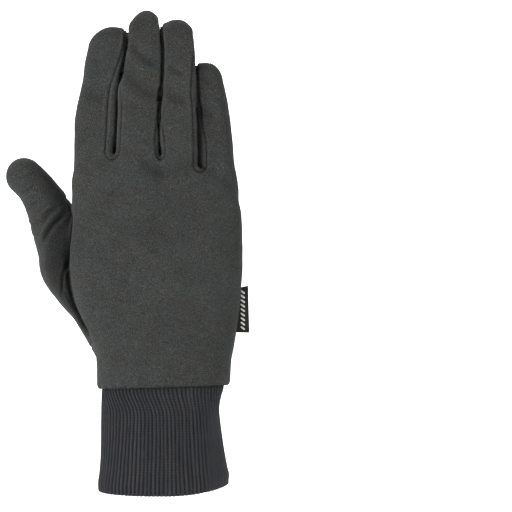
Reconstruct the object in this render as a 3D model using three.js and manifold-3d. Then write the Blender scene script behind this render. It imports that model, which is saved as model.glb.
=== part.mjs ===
// A cut-and-sewn glove liner for a right hand, in the rounded form that it has when worn.
// Millimetres. The origin is the middle of the wrist opening, at the cuff's bottom edge. +Z runs
// to the fingertips, -Y faces the back of the hand, +Y the palm, and the thumb points to -X.
// Every finger is a hollow tube of cloth. The shell is cut from one hollow hand form: the trank
// (back, palm and finger fronts in one cloth), three fourchettes (the strips between the fingers)
// and the thumb. A folded label and a ribbed knit cuff, two layers thick, complete it.
import * as THREE from "three";
import { mergeVertices } from "three/addons/utils/BufferGeometryUtils.js";
import Module from "manifold-3d";

const wasm = await Module();
wasm.setup();

// Cloth and seams
const clothThickness = 1.4;
const seamGap = 0.3; // between two sewn pieces, each a solid of its own
const fingerGap = 0.7; // between two fingers that lie side by side

// Hand
const palmHeight = 129.8; // hem to the top of the knuckle arch
const palmThickness = 33; // at the middle of the palm
const wristThickness = 44; // at the hem
const knuckleDrop = 7.8; // fall of the knuckle arch at archReach to each side of the middle finger
const archReach = 35;
const palmDrop = 9.5; // how much lower the fingers start on the palm than on the back
const knuckleCrown = 4.5; // height over which the hand closes between the fingers
const handLean = -2.9; // slit between middle and ring finger, from the middle of the cuff
const slitLean = 3.2; // how far that slit leans to +X over the middle finger's length

// Fingers: length from the knuckle arch, width and thickness at the root, as worn
const indexLength = 76.1;
const indexWidth = 22.3;
const indexThickness = 18;
const middleLength = 81;
const middleWidth = 24.4;
const middleThickness = 19.4;
const ringLength = 80.6;
const ringWidth = 22.4;
const ringThickness = 18.8;
const littleLength = 65.3;
const littleWidth = 18.8;
const littleThickness = 16;
const fingerCurl = 5; // how far each fingertip bends to the palm

// Thumb
const thumbRise = 90.4; // height from its base to the middle of its tip
const thumbSpread = 46.5; // how far its tip leans out from its base
const thumbWidth = 25.8;
const thumbThickness = 23;
const thumbTipHeight = 10.1;
const thumbForward = 10; // of its axis, to the palm

// Ribbed knit cuff
const cuffHeight = 60;
const cuffTuck = 4; // how far the cuff reaches up inside the hem
const cuffThickness = 2.4; // two layers
const cuffClearance = 0.35; // to the hem around it
const ribCount = 80;
const ribDepth = 0.55;
const rimDip = 1.6; // how much lower the cuff's edge hangs in front and behind than at its sides

// Label, a loop of tape sewn into the seam on the little finger's side
const labelHeight = 25;
const labelReach = 5.2; // how far it stands out of the seam
const labelLayer = 0.5; // thickness of the tape
const labelFold = 0.3; // gap between its two layers
const labelLift = 31.3; // its lower end above the hem

// How finely the solids are faceted
const palmSteps = [0, 0.05, 0.12, 0.19, 0.28, 0.38, 0.48, 0.57]; // shares of palmHeight
palmSteps.push(0.63, 0.69, 0.75, 0.81, 0.87, 0.935, 1);
const fingerSides = 14;
const fingerBoreSides = 10;
const thumbSides = 16;
const palmSides = 32;
const cuffBoreSides = 32;
const domeRings = 3;

// Width along each finger as a share of its named width, and the lean of its rounded tip.
// along: 0 at the knuckle arch, 1 at the tip. dome: height of the tip in half widths.
const fingers = [
  {
    name: "index",
    length: indexLength,
    width: indexWidth,
    thickness: indexThickness,
    toPalm: 0.6,
    dome: 1.0,
    tipLean: 0.34,
    sections: [
      { along: -0.1, width: 1.01, thickness: 1.03 },
      { along: 0.26, width: 1.0, thickness: 0.98 },
      { along: 0.48, width: 0.955, thickness: 0.94 },
      { along: 0.7, width: 0.93, thickness: 0.9 },
      { along: 0.87, width: 0.87, thickness: 0.84 },
    ],
  },
  {
    name: "middle",
    length: middleLength,
    width: middleWidth,
    thickness: middleThickness,
    toPalm: -1.2,
    dome: 1.0,
    tipLean: 0.14,
    sections: [
      { along: -0.1, width: 1.0, thickness: 1.03 },
      { along: 0.2, width: 0.965, thickness: 0.98 },
      { along: 0.42, width: 0.97, thickness: 0.94 },
      { along: 0.64, width: 0.92, thickness: 0.9 },
      { along: 0.86, width: 0.86, thickness: 0.84 },
    ],
  },
  {
    name: "ring",
    length: ringLength,
    width: ringWidth,
    thickness: ringThickness,
    toPalm: -0.6,
    dome: 1.1,
    tipLean: -0.1,
    sections: [
      { along: -0.1, width: 1.0, thickness: 1.03 },
      { along: 0.22, width: 1.03, thickness: 0.98 },
      { along: 0.42, width: 0.94, thickness: 0.94 },
      { along: 0.62, width: 0.85, thickness: 0.9 },
      { along: 0.86, width: 0.74, thickness: 0.8 },
    ],
  },
  {
    name: "little",
    length: littleLength,
    width: littleWidth,
    thickness: littleThickness,
    toPalm: 1.6,
    dome: 1.25,
    tipLean: -0.1,
    sections: [
      { along: -0.1, width: 1.06, thickness: 1.06 },
      { along: 0.28, width: 0.96, thickness: 0.98 },
      { along: 0.48, width: 0.92, thickness: 0.95 },
      { along: 0.66, width: 0.88, thickness: 0.92 },
      { along: 0.84, width: 0.8, thickness: 0.86 },
    ],
  },
];

// Palm and back of the hand. up: share of palmHeight. left, right: edges as shares of the hand's
// breadth across the knuckles. back, palm: depth to each side as shares of the thickness there.
const palmSections = [
  { up: 0, left: -0.404, right: 0.398, back: 0.5, palm: 0.5, square: 2.3 },
  { up: 0.03, left: -0.411, right: 0.404, back: 0.5, palm: 0.5, square: 2.3 },
  { up: 0.12, left: -0.423, right: 0.417, back: 0.5, palm: 0.5, square: 2.3 },
  { up: 0.17, left: -0.44, right: 0.429, back: 0.5, palm: 0.5, square: 2.3 },
  { up: 0.25, left: -0.492, right: 0.441, back: 0.49, palm: 0.51, square: 2.3 },
  { up: 0.33, left: -0.534, right: 0.453, back: 0.49, palm: 0.52, square: 2.4 },
  { up: 0.42, left: -0.567, right: 0.466, back: 0.49, palm: 0.52, square: 2.4 },
  { up: 0.51, left: -0.584, right: 0.473, back: 0.49, palm: 0.51, square: 2.4 },
  { up: 0.6, left: -0.598, right: 0.479, back: 0.49, palm: 0.49, square: 2.5 },
  { up: 0.69, left: -0.594, right: 0.479, back: 0.475, palm: 0.455, square: 2.6 },
  { up: 0.77, left: -0.587, right: 0.479, back: 0.45, palm: 0.425, square: 2.7 },
  { up: 0.85, left: -0.578, right: 0.473, back: 0.41, palm: 0.385, square: 2.8 },
  { up: 0.93, left: -0.565, right: 0.46, back: 0.34, palm: 0.33, square: 2.9 },
  { up: 1, left: -0.548, right: 0.44, back: 0.245, palm: 0.25, square: 3.0 },
];

// Soft dents in the cloth. side: -1 back, +1 palm. across: share of the hand's breadth from the
// middle of the cuff. up: share of palmHeight. tilt: degrees from +X, rising. length and width:
// shares of the hand's breadth. depth in cloth layers.
const clothFolds = [
  { side: 1, across: -0.23, up: 0.7, tilt: 153, length: 0.27, width: 0.056, depth: 0.8 },
  { side: 1, across: -0.4, up: 0.63, tilt: 149, length: 0.25, width: 0.056, depth: 1.0 },
  { side: 1, across: -0.08, up: 0.86, tilt: 153, length: 0.29, width: 0.061, depth: 0.6 },
  { side: 1, across: 0.19, up: 0.8, tilt: 144, length: 0.31, width: 0.067, depth: 0.5 },
  { side: -1, across: -0.02, up: 0.9, tilt: 8, length: 0.45, width: 0.1, depth: 0.3 },
  { side: -1, across: -0.69, up: 0.7, tilt: 53, length: 0.25, width: 0.056, depth: 0.7 },
];

// Thumb, from its base by the wrist to the middle of its tip. along: share of thumbRise.
// out: share of thumbSpread. toPalm: share of thumbForward.
const thumbSections = [
  { along: 0, out: -0.03, toPalm: 0.55, width: 0.95, thickness: 1.0 },
  { along: 0.195, out: 0.18, toPalm: 0.75, width: 1.13, thickness: 1.14 },
  { along: 0.406, out: 0.47, toPalm: 0.95, width: 1.12, thickness: 1.08 },
  { along: 0.635, out: 0.625, toPalm: 1.1, width: 1.0, thickness: 0.97 },
  { along: 0.833, out: 0.776, toPalm: 1.15, width: 0.91, thickness: 0.9 },
  { along: 1, out: 1.0, toPalm: 1.0, width: 0.79, thickness: 0.8 },
];
const thumbBaseAcross = -0.355; // of the hand's breadth
const thumbBaseUp = 0.217; // of palmHeight

// Seam of the thumb on the palm, from the crotch of the thumb round its ball to the wrist's edge
const thumbSeam = [
  { across: -0.61, up: 0.765 },
  { across: -0.45, up: 0.625 },
  { across: -0.335, up: 0.54 },
  { across: -0.258, up: 0.45 },
  { across: -0.243, up: 0.36 },
  { across: -0.268, up: 0.275 },
  { across: -0.325, up: 0.19 },
  { across: -0.4, up: 0.15 },
  { across: -0.47, up: 0.14 },
];
// Seam of the thumb on the back: how far it lies outside the edge of the palm, in mm at seamBulge 1
const thumbBackSeam = [
  { up: 0.14, bulge: -0.2 },
  { up: 0.3, bulge: 0.25 },
  { up: 0.45, bulge: 1 },
  { up: 0.58, bulge: 0.75 },
  { up: 0.7, bulge: 0.1 },
  { up: 0.78, bulge: -0.1 },
];
const seamBulge = 3.6;

// Strips between the fingers: how far each seam lies from the slit, on the back and on the palm,
// as shares of stripReach. The finger with the lower number is to the left.
const stripReach = 5.4;
const fourchettes = [
  { name: "index_middle", back: { left: 1, right: 0.41 }, palm: { left: 0.43, right: 0.41 } },
  { name: "middle_ring", back: { left: 0.41, right: 0.41 }, palm: { left: 0.41, right: 0.89 } },
  { name: "ring_little", back: { left: 0.41, right: 0.61 }, palm: { left: 0.37, right: 0.85 } },
];
const seamBelowCrotch = 2.6;
const fourchetteTipShare = 0.93; // how far up each finger a strip runs

// Cuff outline as shares of its size at the hem, from its edge up. dip: share of rimDip.
const cuffSections = [
  { up: 0, left: 1.07, right: 1.075, depth: 1.1, dip: 1 },
  { up: 0.04, left: 1.08, right: 1.085, depth: 1.11, dip: 0.9 },
  { up: 0.2, left: 1.035, right: 1.035, depth: 1.05, dip: 0.5 },
  { up: 0.48, left: 1.018, right: 0.955, depth: 0.98, dip: 0.1 },
  { up: 0.8, left: 1.03, right: 0.912, depth: 0.965, dip: 0 },
  { up: 1, left: 1.0, right: 1.0, depth: 1.0, dip: 0 },
];

// Smooth interpolation of one column of a table, by the column it is spaced along
function column(rows, at, key, along = "along") {
  const last = rows.length - 1;
  const clamped = Math.min(Math.max(at, rows[0][along]), rows[last][along]);
  let i = rows.findIndex((row) => row[along] >= clamped);
  i = Math.max(i, 1);
  const [a, b] = [rows[i - 1], rows[i]];
  const t = (clamped - a[along]) / (b[along] - a[along]);
  const slope = (row, before, after) =>
    ((after[key] - before[key]) / (after[along] - before[along])) * (b[along] - a[along]);
  const m0 = slope(a, rows[Math.max(i - 2, 0)], b);
  const m1 = slope(b, a, rows[Math.min(i + 1, last)]);
  const t2 = t * t;
  const t3 = t2 * t;
  return (
    (2 * t3 - 3 * t2 + 1) * a[key] +
    (t3 - 2 * t2 + t) * m0 +
    (3 * t2 - 2 * t3) * b[key] +
    (t3 - t2) * m1
  );
}

// Sizes that follow from the named ones
const handBreadth =
  fingers.reduce((sum, finger) => sum + finger.width, 0) + (fingers.length - 1) * fingerGap;
const knuckleTop = cuffHeight + palmHeight;
const middleAxis = handLean - fingerGap / 2 - middleWidth / 2;

// Height of the crotch between two fingers, on the back of the hand
const archHeight = (x) => knuckleTop - knuckleDrop * ((x - middleAxis) / archReach) ** 2;
const upToZ = (up) => cuffHeight + up * palmHeight;

// Middle line of the slit between the middle and ring fingers
function mainSlit(z) {
  const t = Math.max(0, (z - knuckleTop) / middleLength);
  return handLean + slitLean * t * t;
}

// Width of a finger at a height, before its tip is rounded
function fingerWidth(finger, z) {
  const along = (z - finger.rootZ) / finger.length;
  return finger.width * column(finger.sections, along, "width");
}

// The fingers stand side by side, so each edge is stacked outward from the main slit
const [index, middle, ring, little] = fingers;
function fingerEdges(finger, z) {
  const slit = mainSlit(z);
  if (finger === middle || finger === index) {
    const right = slit - fingerGap / 2;
    const left = right - fingerWidth(middle, z);
    if (finger === middle) return { left, right };
    return { left: left - fingerGap - fingerWidth(index, z), right: left - fingerGap };
  }
  const left = slit + fingerGap / 2;
  const right = left + fingerWidth(ring, z);
  if (finger === ring) return { left, right };
  return { left: right + fingerGap, right: right + fingerGap + fingerWidth(little, z) };
}
middle.rootZ = archHeight(middleAxis);
ring.rootZ = archHeight(handLean + fingerGap / 2 + ringWidth / 2);
index.rootZ = archHeight(handLean - 1.5 * fingerGap - middleWidth - indexWidth / 2);
little.rootZ = archHeight(handLean + 1.5 * fingerGap + ringWidth + littleWidth / 2);
for (const finger of fingers) {
  finger.tipZ = finger.rootZ + finger.length;
}

// Middle line of the slit to the right of a finger
function slitRightOf(i, z) {
  return (fingerEdges(fingers[i], z).right + fingerEdges(fingers[i + 1], z).left) / 2;
}

// Points of a rounded oblong, its corners set by square: 2 is an ellipse, more is squarer
function oblong({ left, right, back, palm, square, sides }) {
  const points = [];
  const middleX = (left + right) / 2;
  const half = (right - left) / 2;
  for (let i = 0; i < sides; i++) {
    const a = (i / sides) * 2 * Math.PI;
    const c = Math.cos(a);
    const s = Math.sin(a);
    const depth = s < 0 ? back : palm;
    points.push([
      middleX + half * Math.sign(c) * Math.abs(c) ** (2 / square),
      depth * Math.sign(s) * Math.abs(s) ** (2 / square),
    ]);
  }
  return points;
}

// Closed skin through rings of points that all have the same number of points
function loft(rings) {
  const sides = rings[0].length;
  const positions = [];
  const faces = [];
  const middleOf = (ring) =>
    ring.reduce((sum, p) => sum.map((v, k) => v + p[k] / sides), [0, 0, 0]);
  for (const ring of rings) {
    positions.push(...ring.flat());
  }
  for (let r = 0; r + 1 < rings.length; r++) {
    for (let i = 0; i < sides; i++) {
      const a = r * sides + i;
      const b = r * sides + ((i + 1) % sides);
      faces.push(a, b, b + sides, a, b + sides, a + sides);
    }
  }
  const bottom = positions.length / 3;
  positions.push(...middleOf(rings[0]), ...middleOf(rings.at(-1)));
  const lastRing = (rings.length - 1) * sides;
  for (let i = 0; i < sides; i++) {
    const next = (i + 1) % sides;
    faces.push(bottom, next, i, bottom + 1, lastRing + i, lastRing + next);
  }
  const geometry = new THREE.BufferGeometry();
  geometry.setAttribute("position", new THREE.Float32BufferAttribute(positions, 3));
  geometry.setIndex(faces);
  return geometry;
}

function toSolid(geometry) {
  const bare = geometry.clone();
  bare.deleteAttribute("normal");
  bare.deleteAttribute("uv");
  const merged = mergeVertices(bare, 1e-4);
  return new wasm.Manifold(
    new wasm.Mesh({
      numProp: 3,
      vertProperties: merged.attributes.position.array,
      triVerts: new Uint32Array(merged.index.array),
    }),
  );
}

function toGeometry(solid) {
  const mesh = solid.getMesh();
  const geometry = new THREE.BufferGeometry();
  geometry.setAttribute("position", new THREE.Float32BufferAttribute(mesh.vertProperties, 3));
  geometry.setIndex(Array.from(mesh.triVerts));
  const faceted = geometry.toNonIndexed();
  faceted.computeVertexNormals();
  return faceted;
}

// Quarter circle from the side of a form to its closed end: height and width shares
function domeSteps(rings) {
  const steps = [];
  for (let i = 1; i <= rings; i++) {
    const a = (i / (rings + 0.35)) * (Math.PI / 2);
    steps.push({ rise: Math.sin(a), share: Math.cos(a) });
  }
  return steps;
}

// One finger tube. inset 0 is its outside, clothThickness its inside.
function fingerForm(finger, inset) {
  const rows = finger.sections;
  const lastAlong = rows.at(-1).along;
  const sizeAt = (z) => {
    const along = (z - finger.rootZ) / finger.length;
    const edges = fingerEdges(finger, z);
    const depth = (finger.thickness / 2) * column(rows, along, "thickness") - inset;
    const curl = finger.toPalm + fingerCurl * Math.max(0, along) ** 2;
    return { left: edges.left + inset, right: edges.right - inset, depth, curl };
  };
  const ring = (z, share, lean) => {
    const size = sizeAt(Math.min(z, finger.rootZ + lastAlong * finger.length));
    const curl = finger.toPalm + fingerCurl * Math.max(0, (z - finger.rootZ) / finger.length) ** 2;
    const mid = (size.left + size.right) / 2 + lean;
    const half = ((size.right - size.left) / 2) * share;
    return oblong({
      left: mid - half,
      right: mid + half,
      back: size.depth * share,
      palm: size.depth * share,
      square: 2.35,
      sides: inset > 0 ? fingerBoreSides : fingerSides,
    }).map(([x, y]) => [x, y + curl, z]);
  };
  const rings = [];
  const rootBelow = finger.rootZ - palmDrop - finger.width * 0.55 - inset;
  rings.push(ring(rootBelow, 0.8, 0)); // ends inside the palm
  for (const row of rows) {
    rings.push(ring(finger.rootZ + row.along * finger.length, 1, 0));
  }
  const top = finger.rootZ + lastAlong * finger.length;
  const half = (fingerEdges(finger, top).right - fingerEdges(finger, top).left) / 2;
  const rise = Math.min(finger.tipZ - top, half * finger.dome) - inset;
  for (const step of domeSteps(domeRings)) {
    const lean = finger.tipLean * half * step.rise ** 2;
    rings.push(ring(finger.tipZ - inset - rise + step.rise * rise, step.share, lean));
  }
  return toSolid(loft(rings));
}

// How deep the folds press the cloth in at a point
function foldDepth(x, up, side) {
  let depth = 0;
  for (const fold of clothFolds) {
    if (fold.side !== side) continue;
    const turn = (fold.tilt * Math.PI) / 180;
    const dx = x - fold.across * handBreadth;
    const dz = (up - fold.up) * palmHeight;
    const halfLength = (fold.length * handBreadth) / 2;
    const halfWidth = (fold.width * handBreadth) / 2;
    const along = (dx * Math.cos(turn) + dz * Math.sin(turn)) / halfLength;
    const across = (-dx * Math.sin(turn) + dz * Math.cos(turn)) / halfWidth;
    depth += fold.depth * clothThickness * Math.exp(-(along ** 2) - across ** 2);
  }
  return depth;
}

function handThickness(up) {
  const t = Math.min(up / 0.55, 1);
  return wristThickness + ((palmThickness - wristThickness) * (1 - Math.cos(Math.PI * t))) / 2;
}

// 0 on the back of the fingers, 1 on their palm side
const toPalmShare = (y) => (y + middleThickness / 2) / middleThickness;

// Outline of the palm at a height. The rows lean over to the knuckle arch as they rise.
function palmSize(up, inset) {
  const value = (key) => column(palmSections, up, key, "up");
  return {
    left: value("left") * handBreadth + inset,
    right: value("right") * handBreadth - inset,
    back: value("back") * handThickness(up) - inset,
    palm: value("palm") * handThickness(up) - inset,
    square: value("square"),
    sides: palmSides,
  };
}

function palmForm(inset) {
  const ring = (up, share, lift) => {
    const size = palmSize(up, inset);
    size.back *= share;
    size.palm *= share;
    return oblong(size).map(([x, y]) => {
      const side = y < 0 ? -1 : 1;
      const facing = Math.abs(y) / (side < 0 ? size.back : size.palm);
      const drop = knuckleTop - archHeight(x) + palmDrop * toPalmShare(y);
      const dent = foldDepth(x, up, side) * Math.min(1, facing * 1.4);
      const z = upToZ(up) - (drop + knuckleCrown) * up ** 2 + lift;
      return [x, y - side * dent * share, z];
    });
  };
  const rings = [];
  // The hollow runs out through the open bottom, and the outside stops at the hem
  if (inset > 0) rings.push(ring(0, 1, -5));
  for (const up of palmSteps) {
    rings.push(ring(up, 1, 0));
  }
  for (const step of domeSteps(2)) {
    rings.push(ring(1, step.share, step.rise * (knuckleCrown - inset)));
  }
  return toSolid(loft(rings));
}

// The thumb's axis leans in the plane of the palm, and its rings stand square to it
function thumbForm(inset) {
  const base = {
    x: thumbBaseAcross * handBreadth,
    z: upToZ(thumbBaseUp),
  };
  const axis = new THREE.CatmullRomCurve3(
    thumbSections.map(
      (row) =>
        new THREE.Vector3(
          base.x - row.out * thumbSpread,
          row.toPalm * thumbForward,
          base.z + row.along * thumbRise,
        ),
    ),
  );
  const ringAt = (u, lift, share) => {
    const centre = axis.getPoint(u);
    const ahead = axis.getTangent(u);
    ahead.y = 0;
    ahead.normalize();
    const across = new THREE.Vector3(ahead.z, 0, -ahead.x);
    centre.addScaledVector(ahead, lift);
    const place = u * (thumbSections.length - 1);
    const rows = thumbSections.map((row, k) => ({ ...row, k }));
    const half = (thumbWidth / 2) * column(rows, place, "width", "k") - inset;
    const depth = (thumbThickness / 2) * column(rows, place, "thickness", "k") - inset;
    return oblong({
      left: -half * share,
      right: half * share,
      back: depth * share,
      palm: depth * share,
      square: 2.2,
      sides: thumbSides,
    }).map(([sideways, forward]) => {
      const x = centre.x + across.x * sideways;
      const z = centre.z + across.z * sideways;
      const side = forward < 0 ? -1 : 1;
      const dent = foldDepth(x, (z - cuffHeight) / palmHeight, side) * Math.abs(forward / depth);
      return [x, centre.y + forward - side * dent * share, z];
    });
  };
  const rings = [];
  const steps = 8;
  for (let i = 0; i <= steps; i++) {
    rings.push(ringAt(i / steps, 0, 1));
  }
  for (const step of domeSteps(domeRings)) {
    rings.push(ringAt(1, step.rise * (thumbTipHeight - inset), step.share));
  }
  return toSolid(loft(rings));
}

function handForm(inset) {
  let solid = palmForm(inset);
  for (const finger of fingers) {
    solid = solid.add(fingerForm(finger, inset));
  }
  return solid.add(thumbForm(inset));
}

// A cutter: an outline in the plane of the palm, pushed from one depth to another
const farOff = 60;
function cutter(outline, fromY, toY, slope = null) {
  const shape = new THREE.Shape(outline.map(([x, z]) => new THREE.Vector2(x, z)));
  const geometry = new THREE.ExtrudeGeometry(shape, { depth: toY - fromY, bevelEnabled: false });
  // The shape's plane turns up to the plane of the palm, and its depth to -Y
  geometry.rotateX(Math.PI / 2);
  geometry.translate(0, toY, 0);
  const place = geometry.attributes.position;
  for (let k = 0; slope && k < place.count; k++) {
    place.setZ(k, slope(place.getX(k), place.getY(k), place.getZ(k)));
  }
  return toSolid(geometry);
}

// Outline of a strip's region round slit i. grow widens it all round.
function fourchetteOutline(i, offsets, grow) {
  const [leftFinger, rightFinger] = [fingers[i], fingers[i + 1]];
  const bottomSlit = slitRightOf(i, knuckleTop);
  const crotch = archHeight(bottomSlit);
  const topOf = (finger) => finger.rootZ + finger.length * fourchetteTipShare + grow;
  const rows = 5;
  const side = (finger, sign, offset) => {
    const points = [];
    for (let k = 0; k <= rows; k++) {
      const z = crotch + ((topOf(finger) - crotch) * k) / rows;
      const narrow = 1 - 0.35 * (k / rows) ** 2; // the strips taper to the fingertips
      points.push([slitRightOf(i, z) + sign * (offset * stripReach * narrow + grow), z]);
    }
    return points;
  };
  const leftSide = side(leftFinger, -1, offsets.left);
  const rightSide = side(rightFinger, 1, offsets.right);
  const bend = [];
  const turns = 4;
  for (let k = 1; k < turns; k++) {
    const a = (k / turns) * Math.PI;
    const offset = Math.cos(a) > 0 ? offsets.right : offsets.left;
    const reach = offset * stripReach + grow;
    const z = crotch - (seamBelowCrotch + grow) * Math.sin(a);
    bend.push([slitRightOf(i, crotch) + reach * Math.cos(a), z]);
  }
  // Where the two fingers end at different heights the outline steps along the slit
  const lower = Math.min(topOf(leftFinger), topOf(rightFinger));
  const step = [];
  const leftIsShorter = topOf(leftFinger) < topOf(rightFinger);
  for (let k = 0; k <= 2; k++) {
    const z = lower + (Math.abs(topOf(leftFinger) - topOf(rightFinger)) * k) / 2;
    const slit = slitRightOf(i, z);
    step.push([slit, z]);
  }
  const across = leftIsShorter ? step : step.reverse();
  return [...leftSide, ...across, ...rightSide.reverse(), ...bend];
}

function fourchetteRegion(i, grow) {
  const { back, palm } = fourchettes[i];
  const reach = middleThickness * 1.5;
  const crotch = archHeight(slitRightOf(i, knuckleTop));
  const top = Math.max(fingers[i].tipZ, fingers[i + 1].tipZ);
  // The crotch runs down towards the palm, and the strip's upper end stays level
  const slope = (x, y, z) => {
    const share = Math.min(1, (top - z) / (top - crotch));
    return z - palmDrop * toPalmShare(y) * share;
  };
  const backPart = cutter(fourchetteOutline(i, back, grow), -reach, 0.5, slope);
  const palmPart = cutter(fourchetteOutline(i, palm, grow), 0.5, reach, slope);
  return backPart.add(palmPart);
}

// Moves each point of an open line sideways, to the left of its direction
function shifted(line, by) {
  return line.map((point, i) => {
    const before = line[Math.max(i - 1, 0)];
    const after = line[Math.min(i + 1, line.length - 1)];
    const dx = after[0] - before[0];
    const dz = after[1] - before[1];
    const size = Math.hypot(dx, dz);
    return [point[0] - (dz / size) * by, point[1] + (dx / size) * by];
  });
}

// Region of the thumb: outside its seam on the palm, and outside the palm's edge on the back
function thumbRegion(grow) {
  const outside = -farOff * 2;
  const curve = new THREE.SplineCurve(
    thumbSeam.map((row) => new THREE.Vector2(row.across * handBreadth, upToZ(row.up))),
  );
  const seam = curve.getPoints(20).map((p) => [p.x, p.y]);
  const palmLine = shifted(seam, grow);
  const besideIndex = thumbSeam[0].across * handBreadth + grow;
  const palmOutline = [
    [outside, palmLine.at(-1)[1]],
    ...[...palmLine].reverse(),
    [besideIndex, knuckleTop * 1.2],
    [outside, knuckleTop * 1.2],
  ];
  const backLine = [];
  for (let k = 0; k <= 8; k++) {
    const rows = thumbBackSeam;
    const up = rows[0].up + ((rows.at(-1).up - rows[0].up) * k) / 8;
    const edge = column(palmSections, up, "left", "up") * handBreadth;
    backLine.push([edge - seamBulge * column(rows, up, "bulge", "up") + grow, upToZ(up)]);
  }
  const backOutline = [
    [outside, backLine[0][1]],
    ...backLine,
    [besideIndex, backLine.at(-1)[1] + 3],
    [besideIndex, knuckleTop * 1.2],
    [outside, knuckleTop * 1.2],
  ];
  const splitY = 1.5;
  return cutter(palmOutline, splitY, farOff).add(cutter(backOutline, -farOff, splitY));
}

// The shell's pieces
const outerHand = handForm(0);
const shell = outerHand.subtract(handForm(clothThickness));
const largestBody = (solid) =>
  solid.decompose().reduce((a, b) => (a.volume() > b.volume() ? a : b));

const thumb = largestBody(shell.intersect(thumbRegion(0)));
let trank = shell.subtract(thumbRegion(seamGap));
const strips = fourchettes.map((strip, i) => {
  trank = trank.subtract(fourchetteRegion(i, seamGap));
  return largestBody(shell.intersect(fourchetteRegion(i, 0)));
});
trank = largestBody(trank);

// Size of the cuff where it fits inside the hem
const hem = palmSize(0, clothThickness + cuffClearance);

function cuffOutside() {
  const sides = ribCount * 2;
  const rows = [...cuffSections, { ...cuffSections.at(-1), up: 1 + cuffTuck / cuffHeight }];
  const rings = rows.map((row) => {
    const plain = oblong({
      left: hem.left * row.left,
      right: hem.right * row.right,
      back: hem.back * row.depth,
      palm: hem.palm * row.depth,
      square: hem.square,
      sides,
    });
    return plain.map(([x, y], i) => {
      const size = Math.hypot(x, y);
      const inward = i % 2 ? ribDepth / size : 0;
      const raised = rimDip * row.dip * (1 - (y / (hem.back * row.depth)) ** 2);
      return [x * (1 - inward), y * (1 - inward), row.up * cuffHeight + raised];
    });
  });
  return toSolid(loft(rings));
}

function cuffBore() {
  const above = { ...cuffSections.at(-1), up: 1.2 };
  const below = { ...cuffSections[0], up: -0.1 };
  const rings = [below, ...cuffSections.filter((row) => row.up > 0.1), above].map((row) =>
    oblong({
      left: hem.left * row.left + cuffThickness,
      right: hem.right * row.right - cuffThickness,
      back: hem.back * row.depth - cuffThickness,
      palm: hem.palm * row.depth - cuffThickness,
      square: hem.square,
      sides: cuffBoreSides,
    }).map(([x, y]) => [x, y, row.up * cuffHeight]),
  );
  return toSolid(loft(rings));
}

// The label: a folded tape, open towards the seam and cut to the shell's surface
function labelSolid() {
  const upMiddle = (labelLift + labelHeight / 2) / palmHeight;
  const edge = column(palmSections, upMiddle, "right", "up") * handBreadth;
  const half = labelLayer + labelFold / 2;
  const fold = labelFold / 2;
  const root = edge - 6;
  const tip = edge + labelReach;
  const shape = new THREE.Shape();
  shape.moveTo(root, -half);
  shape.lineTo(tip - half, -half);
  shape.absarc(tip - half, 0, half, -Math.PI / 2, Math.PI / 2, false);
  shape.lineTo(root, half);
  shape.lineTo(root, fold);
  shape.lineTo(tip - half, fold);
  shape.absarc(tip - half, 0, fold, Math.PI / 2, -Math.PI / 2, true);
  shape.lineTo(root, -fold);
  const tape = new THREE.ExtrudeGeometry(shape, {
    depth: labelHeight,
    bevelEnabled: false,
    curveSegments: 4,
  });
  tape.translate(0, 0, cuffHeight + labelLift);
  return largestBody(toSolid(tape).subtract(handForm(-seamGap)));
}

const cuff = cuffOutside().subtract(cuffBore());

const fleece = { color: 0x3d403f, roughness: 0.95, metalness: 0 };
const knit = { color: 0x303135, roughness: 0.95, metalness: 0 };
const tape = { color: 0x151515, roughness: 0.7, metalness: 0 };

const glove = new THREE.Group();
function addPiece(name, solid, finish) {
  const mesh = new THREE.Mesh(toGeometry(solid), new THREE.MeshStandardMaterial(finish));
  mesh.name = name;
  glove.add(mesh);
}

addPiece("trank", trank, fleece);
strips.forEach((strip, i) => addPiece("fourchette_" + fourchettes[i].name, strip, fleece));
addPiece("thumb", thumb, fleece);
addPiece("rib_cuff", cuff, knit);
addPiece("side_label", labelSolid(), tape);

export default glove;
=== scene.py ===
"""Dresses the glove liner: its brushed knit shell, the strips between the fingers, the set-in thumb,
the rib knit cuff and the loop label, with the camera and a plain studio.

Lengths are metres in the panel and millimetres in the tables below, in the frame of the CAD model:
the origin is the middle of the wrist opening, +Z runs to the fingertips, -Y faces the back of the
hand and the thumb points to -X.
"""

from functools import lru_cache

import bpy
import numpy as np
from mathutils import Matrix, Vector


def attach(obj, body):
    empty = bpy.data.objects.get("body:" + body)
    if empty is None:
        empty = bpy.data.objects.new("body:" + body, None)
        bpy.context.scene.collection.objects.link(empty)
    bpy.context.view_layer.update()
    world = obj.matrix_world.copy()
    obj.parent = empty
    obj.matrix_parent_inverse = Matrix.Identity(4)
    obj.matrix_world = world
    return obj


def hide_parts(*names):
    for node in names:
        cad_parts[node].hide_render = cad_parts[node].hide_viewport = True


bl_info = {
    "name": "Glove Liner",
    "version": (1, 0, 0),
    "blender": (4, 5, 0),
    "location": "View3D > Sidebar > Glove Liner",
    "description": "Builds the cloth shell, rib cuff and label of a knit glove liner",
    "category": "Add Mesh",
}

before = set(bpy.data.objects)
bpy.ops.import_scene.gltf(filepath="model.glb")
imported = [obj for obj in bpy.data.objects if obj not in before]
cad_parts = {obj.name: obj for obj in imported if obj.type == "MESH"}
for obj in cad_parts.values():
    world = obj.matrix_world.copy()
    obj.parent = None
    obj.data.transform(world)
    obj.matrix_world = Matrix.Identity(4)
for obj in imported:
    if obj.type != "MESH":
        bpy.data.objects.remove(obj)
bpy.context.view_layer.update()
MM = 0.001


def table(columns, *rows):
    """Rows of a table as dictionaries, by the names of its columns"""
    names = columns.split()
    return tuple(dict(zip(names, row)) for row in rows)


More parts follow.
